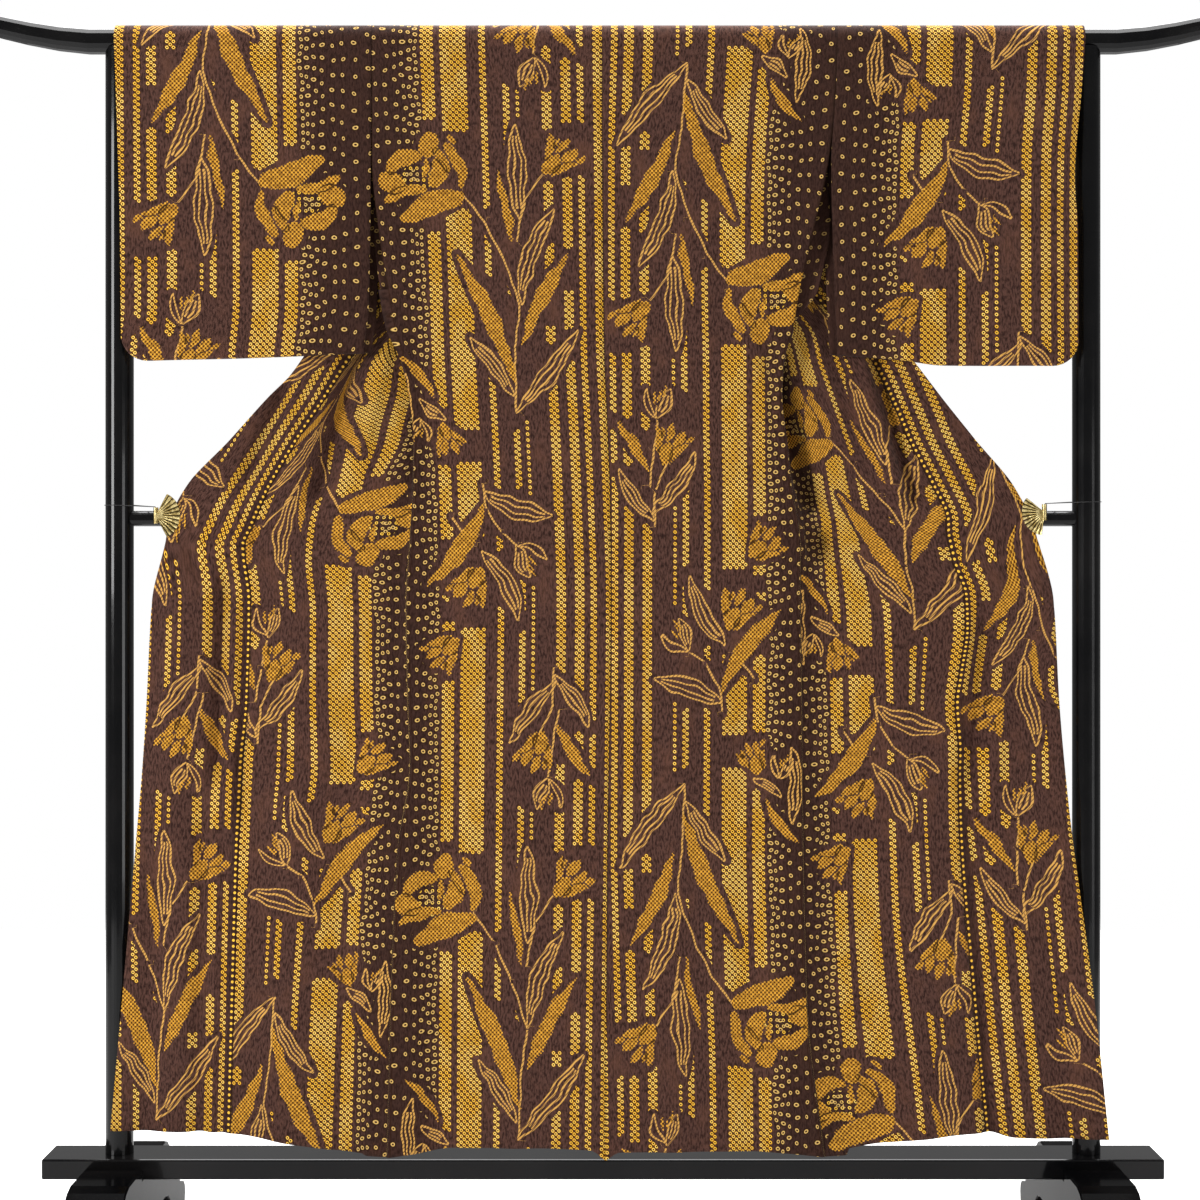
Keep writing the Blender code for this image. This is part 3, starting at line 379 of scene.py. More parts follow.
def soft_step(low, high, value):
    """0 below low, 1 above high, and an S curve between."""
    t = np.clip((value - low) / (high - low), 0.0, 1.0)
    return t * t * (3.0 - 2.0 * t)


def bell(away, width):
    """1 where away is 0, and falling off to both sides as a bell curve."""
    return np.exp(-(away / width) ** 2)


def read(table, key, at):
    """A table's column at a height."""
    return smooth_through(table["height"], table[key], at)


def stacked(*parts):
    """Arrays of one shape, or that spread to one, as the last axis of a new one."""
    return np.stack(np.broadcast_arrays(*parts), axis=-1)


def cells(length):
    """How many of the grid's cells fit a length."""
    return max(int(round(length / CELL)), 2)


def shares(count):
    """Evenly spaced shares from 0 to 1, for a number of cells."""
    return np.linspace(0.0, 1.0, count + 1)


class Half:
    """One half of the robe: its tables, and +1 for the right or -1 for the left."""

    def __init__(self, name, sign, front):
        self.name = name
        self.sign = sign
        self.rows = np.array(front)

    def of(self, name, height):
        value = smooth_through(self.rows[:, 0], self.rows[:, FRONT_COLUMNS.index(name)], height)
        if name == "seam" and self.name in SEAM_SWAY:
            value = value + read(SEAM_SWAY[self.name], "out", height)
        return value

    def back_y(self, out, height):
        """The back's depth: its table, with soft ridges at the middle and side seams."""
        ridges = np.cos(2.0 * math.pi * out / RIDGE_SPACING) * soft_step(*RIDGES_GROW, height)
        side_ridge = (bell(out - SIDE_RIDGE_OUT, SIDE_RIDGE_WIDTH)
                      * soft_step(*SIDE_RIDGE_GROWS, height))
        side = self.of("side", height)
        folds = self.fold_push(BACK_FOLDS, out, height) * soft_step(side, side - 0.02, out)
        return (read(BACK_DEPTH, "y", height) - RIDGE_DEPTH * ridges
                + SIDE_RIDGE_DEPTH * side_ridge + folds)

    def fold_push(self, tables, out, height):
        """How far the folds push the cloth back, away from the viewer.

        Each fold has its depth along its line and falls off to both sides as a bell curve,
        and it fades in at its top and out at its foot. A crease across the cloth is a bell
        curve over the height.
        """
        push = np.zeros_like(out + height)
        for fold in tables[self.name]:
            top, foot = fold.top_height, fold.foot_height
            along = np.clip((top - height) / (top - foot), 0.0, 1.0)
            middle = fold.top_out + (fold.foot_out - fold.top_out) * along
            fade = FADE_SHARE * (top - foot) + FADE_LEAST
            shown = soft_step(top, top - fade, height) * soft_step(foot, foot + fade, height)
            push = push + fold.depth * shown * bell(out - middle, fold.width)
        for crease in CROSS_CREASES:
            wave = crease.height + CREASE_WAVE * np.sin(CREASE_TURNS * out)
            push = push + crease.depth * bell(height - wave, crease.width)
        return push

    def front_y(self, out, height):
        """Depth of the turned-out front, from its fold through the seam to the outline."""
        fold, seam, edge = (self.of(key, height) for key in ("fold", "seam", "edge"))
        fold_y, seam_y, edge_y = (self.of(key, height) for key in ("fold_y", "seam_y", "edge_y"))
        fold_y = fold_y + 2.0 * self.of("turn", height)
        inner = np.clip((out - fold) / (seam - fold), 0.0, 1.0)
        outer = np.clip((out - seam) / np.maximum(edge - seam, 1e-4), 0.0, 1.0)
        flat = fold_y + (seam_y - fold_y) * inner + (edge_y - seam_y) * outer
        by_clip = bell(out - CLIP_OUT, CLIP_FLAT) * bell(height - CLIP_HEIGHT, CLIP_FLAT)
        by_bar = bell(height - MID_BAR_HEIGHT, MID_BAR_FLAT)
        push = self.fold_push(FRONT_FOLDS, out, height)
        push = push - by_bar * np.maximum(push, 0.0)
        return flat + push * (1.0 - by_clip)

    def hem(self, table, out):
        """Height of a hem at distances out."""
        return smooth_through(table[self.name]["out"], table[self.name]["height"], out)

    def points(self, out, y, height):
        return stacked(self.sign * out, y, height)

    def back_bolt(self, out, height):
        """Back's place on the bolt: in from its selvedge, and straight up or down."""
        narrowing = read(BACK_NARROWING[self.name], "share", height)
        shift = self.sign * read(BACK_SHIFT[self.name], "right", height)
        return stacked(BACK_SELVEDGE[self.name] - (out - shift) / narrowing,
                       BACK_START[self.name] + self.sign * height)

    def front_length(self, height):
        """Distance down the bolt at a height of the front, which runs the other way."""
        down = FRONT_TOP - height + read(FRONT_SLACK[self.name], "length", height)
        return FRONT_START[self.name] + self.sign * down

    def front_bolt(self, out, height, turned):
        """Front's place on the bolt: straight lines through its side, a stripe and its seam."""
        side, fold, seam = (self.of(key, height) for key in ("side", "fold", "seam"))
        at_side = read(FRONT_SIDE_WIDTH[self.name], "width", height)
        at_fold = at_side + np.abs(side - fold)
        if not turned:
            width = at_side + np.abs(out - side)
        else:
            share = (FRONT_MIDDLE_WIDTH - at_fold) / (FRONT_SEAM_WIDTH - at_fold)
            straight = fold + share * (seam - fold)
            middle = read(FRONT_MIDDLE[self.name], "out", height)
            middle = middle + (straight - middle) * soft_step(*FRONT_MIDDLE_ENDS, height)
            inner = (out - fold) / (middle - fold)
            outer = (out - middle) / (seam - middle)
            width = np.where(out < middle, at_fold + (FRONT_MIDDLE_WIDTH - at_fold) * inner,
                             FRONT_MIDDLE_WIDTH + (FRONT_SEAM_WIDTH - FRONT_MIDDLE_WIDTH) * outer)
        return stacked(width, self.front_length(height))

    def okumi_bolt(self, out, height):
        """Overlap's place on the bolt: its threads slant above the clip's height."""
        slant = OKUMI_SLANT[self.name] * soft_step(*OKUMI_SLANTS, height)
        away = out - self.of("seam", height)
        above = np.maximum(height - OKUMI_KINK, 0.0)
        rise = np.minimum(height, OKUMI_KINK) + above / math.cos(OKUMI_SLANT[self.name])
        rise = rise + read(OKUMI_SLACK[self.name], "length", height)
        width = (read(OKUMI_WIDTH[self.name], "width", height)
                 - read(OKUMI_SPREAD[self.name], "share", height) * away)
        return stacked(width, OKUMI_START[self.name] + self.sign * (rise - away * np.sin(slant)))


LEFT = Half("left", -1.0, LEFT_FRONT)
RIGHT = Half("right", 1.0, RIGHT_FRONT)


# Motifs of the pattern, as their places on the bolt: across from the selvedge and down.
# A leaf runs from its base to its tip; a filled one has a positive style, which is how
# pointed it is, and a line-drawn one a negative style. Bend bows its middle sideways.
Leaf = namedtuple("Leaf", "across down tip_across tip_down width bend style")
FILLED = 0.85
LINES = -0.80
LEAVES = [
    Leaf(.2301, .299, .2274, .168, .0240, .002, LINES),
    Leaf(.2206, .328, .2024, .230, .0110, .002, FILLED),
    Leaf(.2310, .413, .2810, .283, .0220, -.010, LINES),
    Leaf(.2210, .520, .1425, .344, .0230, .006, FILLED),
    Leaf(.2325, .468, .3000, .344, .0200, -.006, FILLED),
    Leaf(.2170, .538, .1580, .456, .0180, .004, LINES),
    Leaf(.2180, .560, .3120, .447, .0200, .004, LINES),
    Leaf(.0567, .479, .1034, .538, .0110, -.004, FILLED),
    Leaf(.0650, .505, .0650, .609, .0180, .005, LINES),
    Leaf(.0800, .540, .1190, .568, .0130, .003, LINES),
    Leaf(.1670, .667, .2640, .699, .0270, .007, LINES),
    Leaf(.1670, .682, .0800, .793, .0240, -.010, FILLED),
    Leaf(.1616, .745, .2134, .840, .0220, -.008, LINES),
    Leaf(.2670, .923, .2010, 1.006, .0190, .005, LINES),
    Leaf(.2640, .913, .3140, .984, .0180, -.004, LINES),
    Leaf(.2690, .980, .3150, 1.049, .0150, .003, FILLED),
]

# Stems: points that each follows on the bolt
STEMS = [
    ((.150, .258), (.183, .300), (.208, .350), (.230, .412), (.222, .470), (.219, .560)),
    ((.264, .237), (.240, .270), (.228, .328)),
    ((.165, .655), (.170, .690), (.190, .722), (.212, .738)),
    ((.262, .905), (.262, .955), (.240, 1.000)),
    ((.270, .960), (.262, 1.010), (.256, 1.050)),
    ((.119, .700), (.150, .740)),
]


# Petals of the two kinds of filled flower and of the line-drawn bud, in shares of the
# flower's reach. A side-on flower's petals run from its stem's end, with u the way it
# faces; the peony's are placed from its middle.
Petal = namedtuple("Petal", "u v tip_u tip_v width bend style")
SIDE_FLOWER = (
    Petal(-.02, .00, .60, -.03, .42, .00, .85),
    Petal(.08, .16, .74, .46, .21, -.06, .80),
    Petal(.50, .12, 1.00, .20, .25, .02, .80),
    Petal(.58, -.12, 1.08, -.10, .20, .00, .80),
    Petal(.24, -.22, .84, -.54, .19, .06, .80),
    Petal(.74, .36, .98, .50, .14, .00, .80),
    Petal(.62, -.28, .88, -.34, .11, .00, .80),
)
LINE_BUD = (
    Petal(.00, .00, .92, .34, .34, .04, LINES),
    Petal(.04, -.02, .88, -.40, .20, -.14, LINES),
    Petal(.48, .02, .84, .10, .07, .00, .60),
    Petal(.42, -.08, .80, -.10, .07, .00, .60),
    Petal(.62, .16, 1.00, .18, .06, .00, .60),
)
PEONY_RADIUS = 0.061
PEONY_EYE = (-.17, .05, .34)    # middle of its stamens and how far they spread
PEONY = (
    Petal(.07, -.44, .20, -1.00, .44, .00, .40),
    Petal(-.82, -.12, -.02, -.46, .36, -.14, .34),
    Petal(-.42, .24, -1.02, .02, .46, .00, .42),
    Petal(.08, .32, -.92, .54, .24, .12, .42),
    Petal(.90, .38, -.56, .96, .50, .06, .48),
    Petal(.84, .24, .50, -.76, .27, .15, .36),
    Petal(.58, -.10, .24, -.64, .20, .05, .38),
    Petal(.16, .22, .36, -.40, .38, .10, .42),
    Petal(.02, .02, .08, -.42, .11, .02, .50),
    Petal(.56, -.92, .76, -.74, .12, .00, .60),
)


def flower(petals, across, down, reach, facing):
    """Petals turned to the way a flower faces, scaled to its reach and set at its place."""
    turn = math.radians(facing)
    east = np.array((math.cos(turn), math.sin(turn)))
    south = np.array((-math.sin(turn), math.cos(turn)))
    made = []
    for petal in petals:
        base = reach * (petal.u * east + petal.v * south) + (across, down)
        tip = reach * (petal.tip_u * east + petal.tip_v * south) + (across, down)
        made.append(Leaf(*base, *tip, petal.width * reach, petal.bend * reach, petal.style))
    return made


PEONY_PLACE = (.101, .240)
WRAPS = (-REPEAT, 0.0, REPEAT)      # a motif may run past either end of the repeat
MOTIF_MARGIN = 0.060        # faces this far past a motif's ends are looked through for it
MOTIF_REACH = 0.008         # a face's middle is at most this far from a motif that it shows
STEM_REACH = 0.010

# Values that the shader reads at each corner, and the ones that stand for nothing near
LEAF_MARKS = ("leaf", "leaf_beside")
NONE_NEAR = 0.05
NO_LEAF = (-1.0, 1.0, 0.0, 0.0)
NO_TRIM = (NONE_NEAR, NONE_NEAR, 0.0, NONE_NEAR)
MOTIFS = (
    LEAVES
    + flower(PEONY, *PEONY_PLACE, PEONY_RADIUS, 0.0)
    + flower(SIDE_FLOWER, .268, .236, .056, -48.0)
    + flower(SIDE_FLOWER, .112, .572, .044, 72.0)
    + flower(LINE_BUD, .082, .566, .034, 100.0)
    + flower(SIDE_FLOWER, .160, .768, .056, 122.0)
    + flower(SIDE_FLOWER, .126, .864, .052, 138.0)
    + flower(SIDE_FLOWER, .250, .990, .054, 112.0)
    + flower(LINE_BUD, .212, .738, .048, 52.0)
    + flower(LINE_BUD, .256, 1.052, .046, 92.0)
)


def motif_frame(motif, across, down):
    """Position along a motif from 0 at its base to 1 at its tip, and distance from its axis.

    The axis is the straight line from base to tip, bowed sideways by a half sine.
    """
    run = np.array((motif.tip_across - motif.across, motif.tip_down - motif.down))
    length = math.hypot(*run)
    run = run / length
    east = across - motif.across
    south = down - motif.down
    along = (east * run[0] + south * run[1]) / length
    bow = motif.bend * np.sin(math.pi * np.clip(along, 0.0, 1.0))
    aside = south * run[0] - east * run[1] - bow
    return along, aside, length


def motif_distance(motif, along, aside, length):
    """Distance outside a motif's outline; its half width is a power of a half sine."""
    inside = np.clip(along, 0.0, 1.0)
    half = 0.5 * motif.width * np.maximum(np.sin(math.pi * inside), 0.0) ** abs(motif.style)
    return np.hypot(np.maximum(np.abs(aside) - half, 0.0), (along - inside) * length)


def stem_place(start, end, across, down):
    """Signed distance beside a stem's straight stretch, and the distance from it."""
    run = np.array((end[0] - start[0], end[1] - start[1]))
    length = math.hypot(*run)
    run = run / length
    east, south = across - start[0], down - start[1]
    along = east * run[0] + south * run[1]
    aside = south * run[0] - east * run[1]
    past = np.maximum(np.abs(along - length / 2) - length / 2, 0.0)
    return aside, np.hypot(aside, past)


def bolt_marks(corners):
    """Values that draw the motifs, for each corner of each face, from its place on the bolt.

    Every face takes the two motifs nearest to its middle. Its corners keep their position
    along and beside each, with its width and style, and so the shader draws a sharp
    outline. The second result is the signed distance from a stem, the distance from any
    motif, and how far inside the peony's eye the corner lies.
    """
    middle = corners.mean(axis=1)
    shift = np.floor(middle[:, 1] / REPEAT) * REPEAT
    middle_down = middle[:, 1] - shift
    across = corners[..., 0]
    down = corners[..., 1] - shift[:, None]
    leaves = np.tile(NO_LEAF, (2,) + across.shape + (1,))
    clear = np.full(across.shape, NONE_NEAR)
    nearest = np.full((2, len(corners)), MOTIF_REACH)
    for motif in MOTIFS:
        low = min(motif.down, motif.tip_down) - MOTIF_MARGIN
        high = max(motif.down, motif.tip_down) + MOTIF_MARGIN
        for wrap in WRAPS:
            close = np.nonzero((middle_down + wrap > low) & (middle_down + wrap < high))[0]
            if not len(close):
                continue
            place = motif_frame(motif, across[close], down[close] + wrap)
            clear[close] = np.minimum(clear[close], motif_distance(motif, *place))
            away = motif_distance(motif, *motif_frame(motif, middle[close, 0],
                                                      middle_down[close] + wrap))
            marks = stacked(place[0], place[1], 0.5 * motif.width, motif.style)
            first = away < nearest[0, close]
            won = close[first]
            leaves[1, won], nearest[1, won] = leaves[0, won], nearest[0, won]
            leaves[0, won], nearest[0, won] = marks[first], away[first]
            second = ~first & (away < nearest[1, close])
            won = close[second]
            leaves[1, won], nearest[1, won] = marks[second], away[second]
    stem = np.full(across.shape, NONE_NEAR)
    best = np.full(len(corners), STEM_REACH)
    for route in STEMS:
        for start, end in zip(route[:-1], route[1:]):
            for wrap in WRAPS:
                away = stem_place(start, end, middle[:, 0], middle_down + wrap)[1]
                won = np.nonzero(away < best)[0]
                best[won] = away[won]
                aside, away = stem_place(start, end, across[won], down[won] + wrap)
                stem[won] = np.where(away > np.abs(aside) + 0.001, NONE_NEAR, aside)
                clear[won] = np.minimum(clear[won], away)
    eye_across = PEONY_PLACE[0] + PEONY_EYE[0] * PEONY_RADIUS
    eye_down = PEONY_PLACE[1] + PEONY_EYE[1] * PEONY_RADIUS
    eye = PEONY_EYE[2] * PEONY_RADIUS - np.hypot(across - eye_across, down - eye_down)
    return leaves, np.stack([stem, clear, eye], axis=-1)


def cloth_shell(name, half, grids, cloth, reverse):
    """A thin closed shell from grids of points that share their edges.

    Each grid is (points, bolt), or (points, bolt, distance from its seam), with rows going
    down and columns going out on a face whose printed side is towards -Y on the right
    half. A distance is negative where a seam shows no stitches. Equal points are merged,
    and Solidify gives the wall.
    """
    points, bolts, quads, seams = [], [], [], []
    count = 0
    for grid, bolt, *seam in grids:
        rows, columns = grid.shape[:2]
        seams.append(np.broadcast_to(seam[0] if seam else NONE_NEAR, (rows, columns)).reshape(-1))
        index = count + np.arange(rows * columns).reshape(rows, columns)
        quad = stacked(index[:-1, :-1], index[1:, :-1], index[1:, 1:], index[:-1, 1:])
        quads.append(quad.reshape(-1, 4))
        points.append(grid.reshape(-1, 3))
        bolts.append(np.broadcast_to(bolt, grid.shape[:2] + (2,)).reshape(-1, 2))
        count += rows * columns
    points, bolts, quads, seams = map(np.concatenate, (points, bolts, quads, seams))
    if half.sign < 0:
        quads = quads[:, ::-1]
    _, first, same = np.unique(np.round(points, 6), axis=0, return_index=True,
                               return_inverse=True)
    faces = same.reshape(-1)[quads]
    keep = np.array([len(set(face)) == 4 for face in faces.tolist()])
    three = np.array([len(set(face)) == 3 for face in faces.tolist()])
    corners, whole = quads[keep], faces[keep]
    thin = []
    for given, face in zip(quads[three].tolist(), faces[three].tolist()):
        order = [i for i in range(4) if face[i] != face[i - 1]]
        thin.append(([given[i] for i in order], [face[i] for i in order]))
    mesh = bpy.data.meshes.new(name)
    mesh.from_pydata(points[first].tolist(), [], whole.tolist() + [face for _, face in thin])
    uv = np.concatenate([bolts[corners].reshape(-1, 2)]
                        + [bolts[given].reshape(-1, 2) for given, _ in thin])
    mesh.uv_layers.new(name="bolt").data.foreach_set("uv", uv.reshape(-1))
    leaves, trim = bolt_marks(bolts[corners])
    trim = np.concatenate([trim, seams[corners][..., None]], axis=-1)
    for label, values, spare in ((LEAF_MARKS[0], leaves[0], NO_LEAF),
                                 (LEAF_MARKS[1], leaves[1], NO_LEAF),
                                 ("trim", trim, NO_TRIM)):
        values = np.concatenate([values.reshape(-1, 4), np.tile(spare, (3 * len(thin), 1))])
        marks = mesh.attributes.new(label, "FLOAT_COLOR", "CORNER")
        marks.data.foreach_set("color", values.reshape(-1))
    mesh.shade_smooth()
    mesh.materials.append(cloth)
    mesh.materials.append(reverse)
    item = bpy.data.objects.new(name, mesh)
    bpy.context.scene.collection.objects.link(item)
    wall = item.modifiers.new("wall", "SOLIDIFY")
    wall.thickness = SHELL
    wall.offset = 0.0
    wall.material_offset = 1
    return item


DOWN_BODY = shares(cells(BAR_HEIGHT - HEM_MEAN))[:, None]
NECK_CELLS = cells(NECK_OUT)
SIDE_CELLS = cells(PANEL_WIDTH - NECK_OUT)
ROUND_BAR = np.radians(np.linspace(180.0, 0.0, 13))[:, None]    # from the far side to the back


def heights(hem):
    """Heights down each column, evenly spaced from the bar to that column's hem."""
    return BAR_HEIGHT - DOWN_BODY * (BAR_HEIGHT - hem)


def over_bar(half, out):
    """Half a circle round the bar's axis."""
    return half.points(out, -DRAPE_RADIUS * np.cos(ROUND_BAR),
                       BAR_HEIGHT + DRAPE_RADIUS * np.sin(ROUND_BAR))


def back_grid(half):
    """The back, with the distance from its nearer seam, and where its columns are at the bar."""
    side_at_hem = half.of("side", HEM_MEAN)
    near_middle = shares(NECK_CELLS)
    share = shares(SIDE_CELLS)[1:]
    hem_out = np.concatenate([NECK_OUT * near_middle,
                              NECK_OUT + share * (side_at_hem - NECK_OUT)])
    height = heights(half.hem(BACK_HEM, hem_out))
    side = half.of("side", height[:, -1:])
    middle = half.sign * read(CENTRE_SEAM, "right", height[:, :1])
    out = np.concatenate([middle + near_middle * (NECK_OUT - middle),
                          NECK_OUT + share * (side - NECK_OUT)], axis=1)
    y = half.back_y(out, height)
    y[0] = -DRAPE_RADIUS
    from_seam = -np.minimum(out - middle, side - out)
    return (half.points(out, y, height), half.back_bolt(out, height), from_seam), out[:1]


def front_grids(half):
    """The front in three grids: from the side in to its fold, round the fold, and out.

    The second run goes out to the overlap's seam. The last result is the side seam's
    middle line, with the heights of the rows.
    """
    z = heights(half.hem(FRONT_HEM, half.of("side", HEM_MEAN)))[:, 0]
    side, fold, lap, gap, turn = (half.of(key, z) for key in ("side", "fold", "lap", "gap", "turn"))
    closing = soft_step(*SIDE_CLOSES, z)
    back_y = half.back_y(side, z)
    start, start_y = side + lap + SIDE_ROUND * closing, back_y + gap
    fold_y = half.of("fold_y", z)
    share = shares(SIDE_CELLS)
    run_out = start[:, None] + (fold - start)[:, None] * share
    run_y = start_y[:, None] + (fold_y - start_y)[:, None] * share
    run_y[0] = DRAPE_RADIUS
    run = half.points(run_out, run_y, z[:, None])
    run_bolt = half.front_bolt(run_out, z[:, None], False)
    side_line = half.points(side + lap + SIDE_TIP, back_y + gap * (0.5 - 0.55 * closing), z)

    # Where folds push the turned front back, this run is that much wider on the bolt
    opening = soft_step(*FOLD_OPENS, z)
    turn_y = half.front_y(fold + FOLD_ROUND * opening, z)
    run_bolt[..., 0] -= np.maximum(turn_y - fold_y - 2.0 * turn, 0.0)[:, None]

    share = shares(cells(TURNED_WIDTH))
    fold_at_hem, seam_at_hem = (half.of(key, HEM_MEAN) for key in ("fold", "seam"))
    height = heights(half.hem(FRONT_HEM, fold_at_hem + share * (seam_at_hem - fold_at_hem)))
    height[:, 0] = z
    start = half.of("fold", height) + FOLD_ROUND * soft_step(*FOLD_OPENS, height)
    end = half.of("seam", height)
    out = start + (end - start) * share
    turned = half.points(out, half.front_y(out, height), height)
    turned_bolt = half.front_bolt(out, height, True)

    tip = half.points(fold - turn * (1.0 - opening) + 0.5 * FOLD_ROUND * opening,
                      0.5 * (fold_y + turn_y), z)
    strip = np.stack([run[:, -1], tip, turned[:, 0]], axis=1)
    strip_bolt = np.stack([run_bolt[:, -1], 0.5 * (run_bolt[:, -1] + turned_bolt[:, 0]),
                           turned_bolt[:, 0]], axis=1)
    grids = [(run, run_bolt), (strip, strip_bolt), (turned, turned_bolt, out - end)]
    return grids, side_line, z


def body_shell(half, cloth, reverse):
    """Back, shoulder and front in one piece, folded over the bar and turned out below."""
    back, top_out = back_grid(half)
    over = over_bar(half, top_out)
    over_bolt = half.back_bolt(top_out, BAR_HEIGHT + DRAPE_RADIUS * ROUND_BAR)
    neck_over = (over[2:, :NECK_CELLS + 1], over_bolt[2:, :NECK_CELLS + 1])
    side_over = (over[:, NECK_CELLS:], over_bolt[:, NECK_CELLS:])
    fronts, side_line, z = front_grids(half)

    # Rounded side seam below the side opening
    sewn = z <= SEAM_TOP[half.name] + SIDE_ALLOWANCE
    back_bolt = back[1][:, -1]
    seam = np.stack([back[0][:, -1], side_line, fronts[0][0][:, 0]], axis=1)
    seam_bolt = np.stack([back_bolt, back_bolt - (SIDE_ALLOWANCE, 0.0), fronts[0][1][:, 0]],
                         axis=1)
    grids = [back, neck_over, side_over, (seam[sewn], seam_bolt[sewn])] + fronts
    return cloth_shell("yukata_body_" + half.name, half, grids, cloth, reverse)


def okumi_shell(half, cloth, reverse):
    """Front overlap, from the seam with the front out to the outline."""
    share = shares(cells(OVERLAP_WIDTH))
    seam_at_hem, edge_at_hem = (half.of(key, HEM_MEAN) for key in ("seam", "edge"))
    height = heights(half.hem(FRONT_HEM, seam_at_hem + share * (edge_at_hem - seam_at_hem)))
    height = height[height[:, 0] < OKUMI_TOP]
    start = half.of("seam", height)
    out = start + (half.of("edge", height) - start) * share
    grid = (half.points(out, half.front_y(out, height), height), half.okumi_bolt(out, height),
            out - start)
    return cloth_shell("yukata_okumi_" + half.name, half, [grid], cloth, reverse)


SLEEVE_ACROSS = shares(cells(PANEL_WIDTH))[:-1]
SLEEVE_ROUND = np.radians(np.linspace(0.0, 90.0, 9))    # the rounded corner's columns
FLAT_COLUMNS = np.zeros(len(SLEEVE_ACROSS))


def sleeve_out(half, z, far):
    """Distances out of each row's columns, with the rounded corner's columns last."""
    inner = read(SLEEVE[half.name]["inner"], "out", z)
    edge = read(SLEEVE[half.name]["edge"], "out", z)
    if far:
        inner = inner - FAR_LAP * soft_step(*FAR_LAP_GROWS, z)
        inside = np.minimum(edge, SLEEVE_POST_LIMIT)
        edge = inside + (edge - inside) * soft_step(CUFF_CLEARS, CUFF_BOTTOM, z)
    share = np.concatenate([SLEEVE_ACROSS, np.ones(len(SLEEVE_ROUND))])
    past = np.concatenate([FLAT_COLUMNS, SLEEVE_CORNER * np.sin(SLEEVE_ROUND)])
    return inner + (edge - SLEEVE_CORNER - inner) * share + past


def sleeve_y(out, z, far):
    """Depth of a sleeve's layer, which leaves the other towards the cuff."""
    spread = soft_step(*SLEEVE_SPREADS, out)
    near = read(BACK_DEPTH, "y", z)
    near = near - NEAR_FORWARD * spread * soft_step(BAR_HEIGHT, NEAR_IS_FORWARD, z)
    if not far:
        return near
    inner = np.interp(z, FAR_INNER["height"][::-1], FAR_INNER["y"][::-1])
    inner = inner + FAR_LIFT * soft_step(*FAR_LIFT_GROWS, z) * soft_step(*FAR_LIFT_ENDS, out)
    outer = np.interp(z, FAR_OUTER["height"][::-1], FAR_OUTER["y"][::-1])
    return inner + (outer - inner) * spread


def sleeve_shell(half, cloth, reverse):
    """A flat bag over the bar: open to the body and at the cuff, closed below it."""
    bottom = SLEEVE[half.name]["bottom"]
    bottom_out = sleeve_out(half, SLEEVE_FOOT, False)
    rise = np.concatenate([FLAT_COLUMNS, SLEEVE_CORNER * (1.0 - np.cos(SLEEVE_ROUND))])
    low_edge = smooth_through(bottom["out"], bottom["height"], bottom_out) + rise + SLEEVE_FOLD
    height = BAR_HEIGHT + (low_edge - BAR_HEIGHT) * shares(cells(SLEEVE_LENGTH))[:, None]
    near_out, far_out = sleeve_out(half, height, False), sleeve_out(half, height, True)
    near_y, far_y = sleeve_y(near_out, height, False), sleeve_y(far_out, height, True)

    # Close the outer edge below the cuff: the last column's layers meet halfway
    closed = height[:, -1] <= CUFF_BOTTOM
    middle = 0.5 * (near_y[:, -1] + far_y[:, -1])
    near_y[:, -1] = np.where(closed, middle, near_y[:, -1])
    far_y[:, -1] = np.where(closed, middle, far_y[:, -1])
    far_out[:, -1] = np.where(closed, near_out[:, -1], far_out[:, -1])
    near = half.points(near_out, near_y, height)
    far = half.points(far_out, far_y, height)

    top = SLEEVE_TOP_LENGTH[half.name]
    seam = (read(SLEEVE[half.name]["inner"], "out", height)
            - read(SLEEVE_SEAM_ALLOWANCE[half.name], "width", height))
    width = near_out - seam
    width = width + SLEEVE_EDGE_PULL[half.name] * soft_step(*SLEEVE_EDGE, width)
    near_bolt = stacked(width, top + half.sign * SLEEVE_EASE * (BAR_HEIGHT - height))
    far_bolt = stacked(far_out - seam,
                       top - half.sign * (math.pi * DRAPE_RADIUS + BAR_HEIGHT - height))

    past = soft_step(*FAR_SIDE_DEGREES, np.degrees(ROUND_BAR))
    over = over_bar(half, near_out[0] + (far_out[0] - near_out[0]) * past)
    over_bolt = stacked(near_bolt[0, :, 0], top - half.sign * DRAPE_RADIUS * ROUND_BAR)

    # The fold at the foot, in four cells from the near layer to the far one
    low_y = 0.5 * (near_y[-1] + far_y[-1])
    low = half.points(near_out[-1], low_y, height[-1] - SLEEVE_FOLD)
    near_low, far_low = (half.points(out[-1], 0.75 * y[-1] + 0.25 * low_y,
                                     height[-1] - 0.6 * SLEEVE_FOLD)
                         for out, y in ((near_out, near_y), (far_out, far_y)))
    low[-1] = near_low[-1] = far_low[-1] = near[-1, -1]
    foot = np.stack([near[-1], near_low, low, far_low, far[-1]])
    step = np.array((0.0, half.sign * 0.7 * SLEEVE_FOLD))
    foot_bolt = np.stack([near_bolt[-1], near_bolt[-1] + step, near_bolt[-1] + 2.5 * step,
                          far_bolt[-1] - step, far_bolt[-1]])
    grids = [(near, near_bolt), (over, over_bolt), (far[:, ::-1], far_bolt[:, ::-1]),
             (foot, foot_bolt)]
    return cloth_shell("yukata_sleeve_" + half.name, half, grids, cloth, reverse)


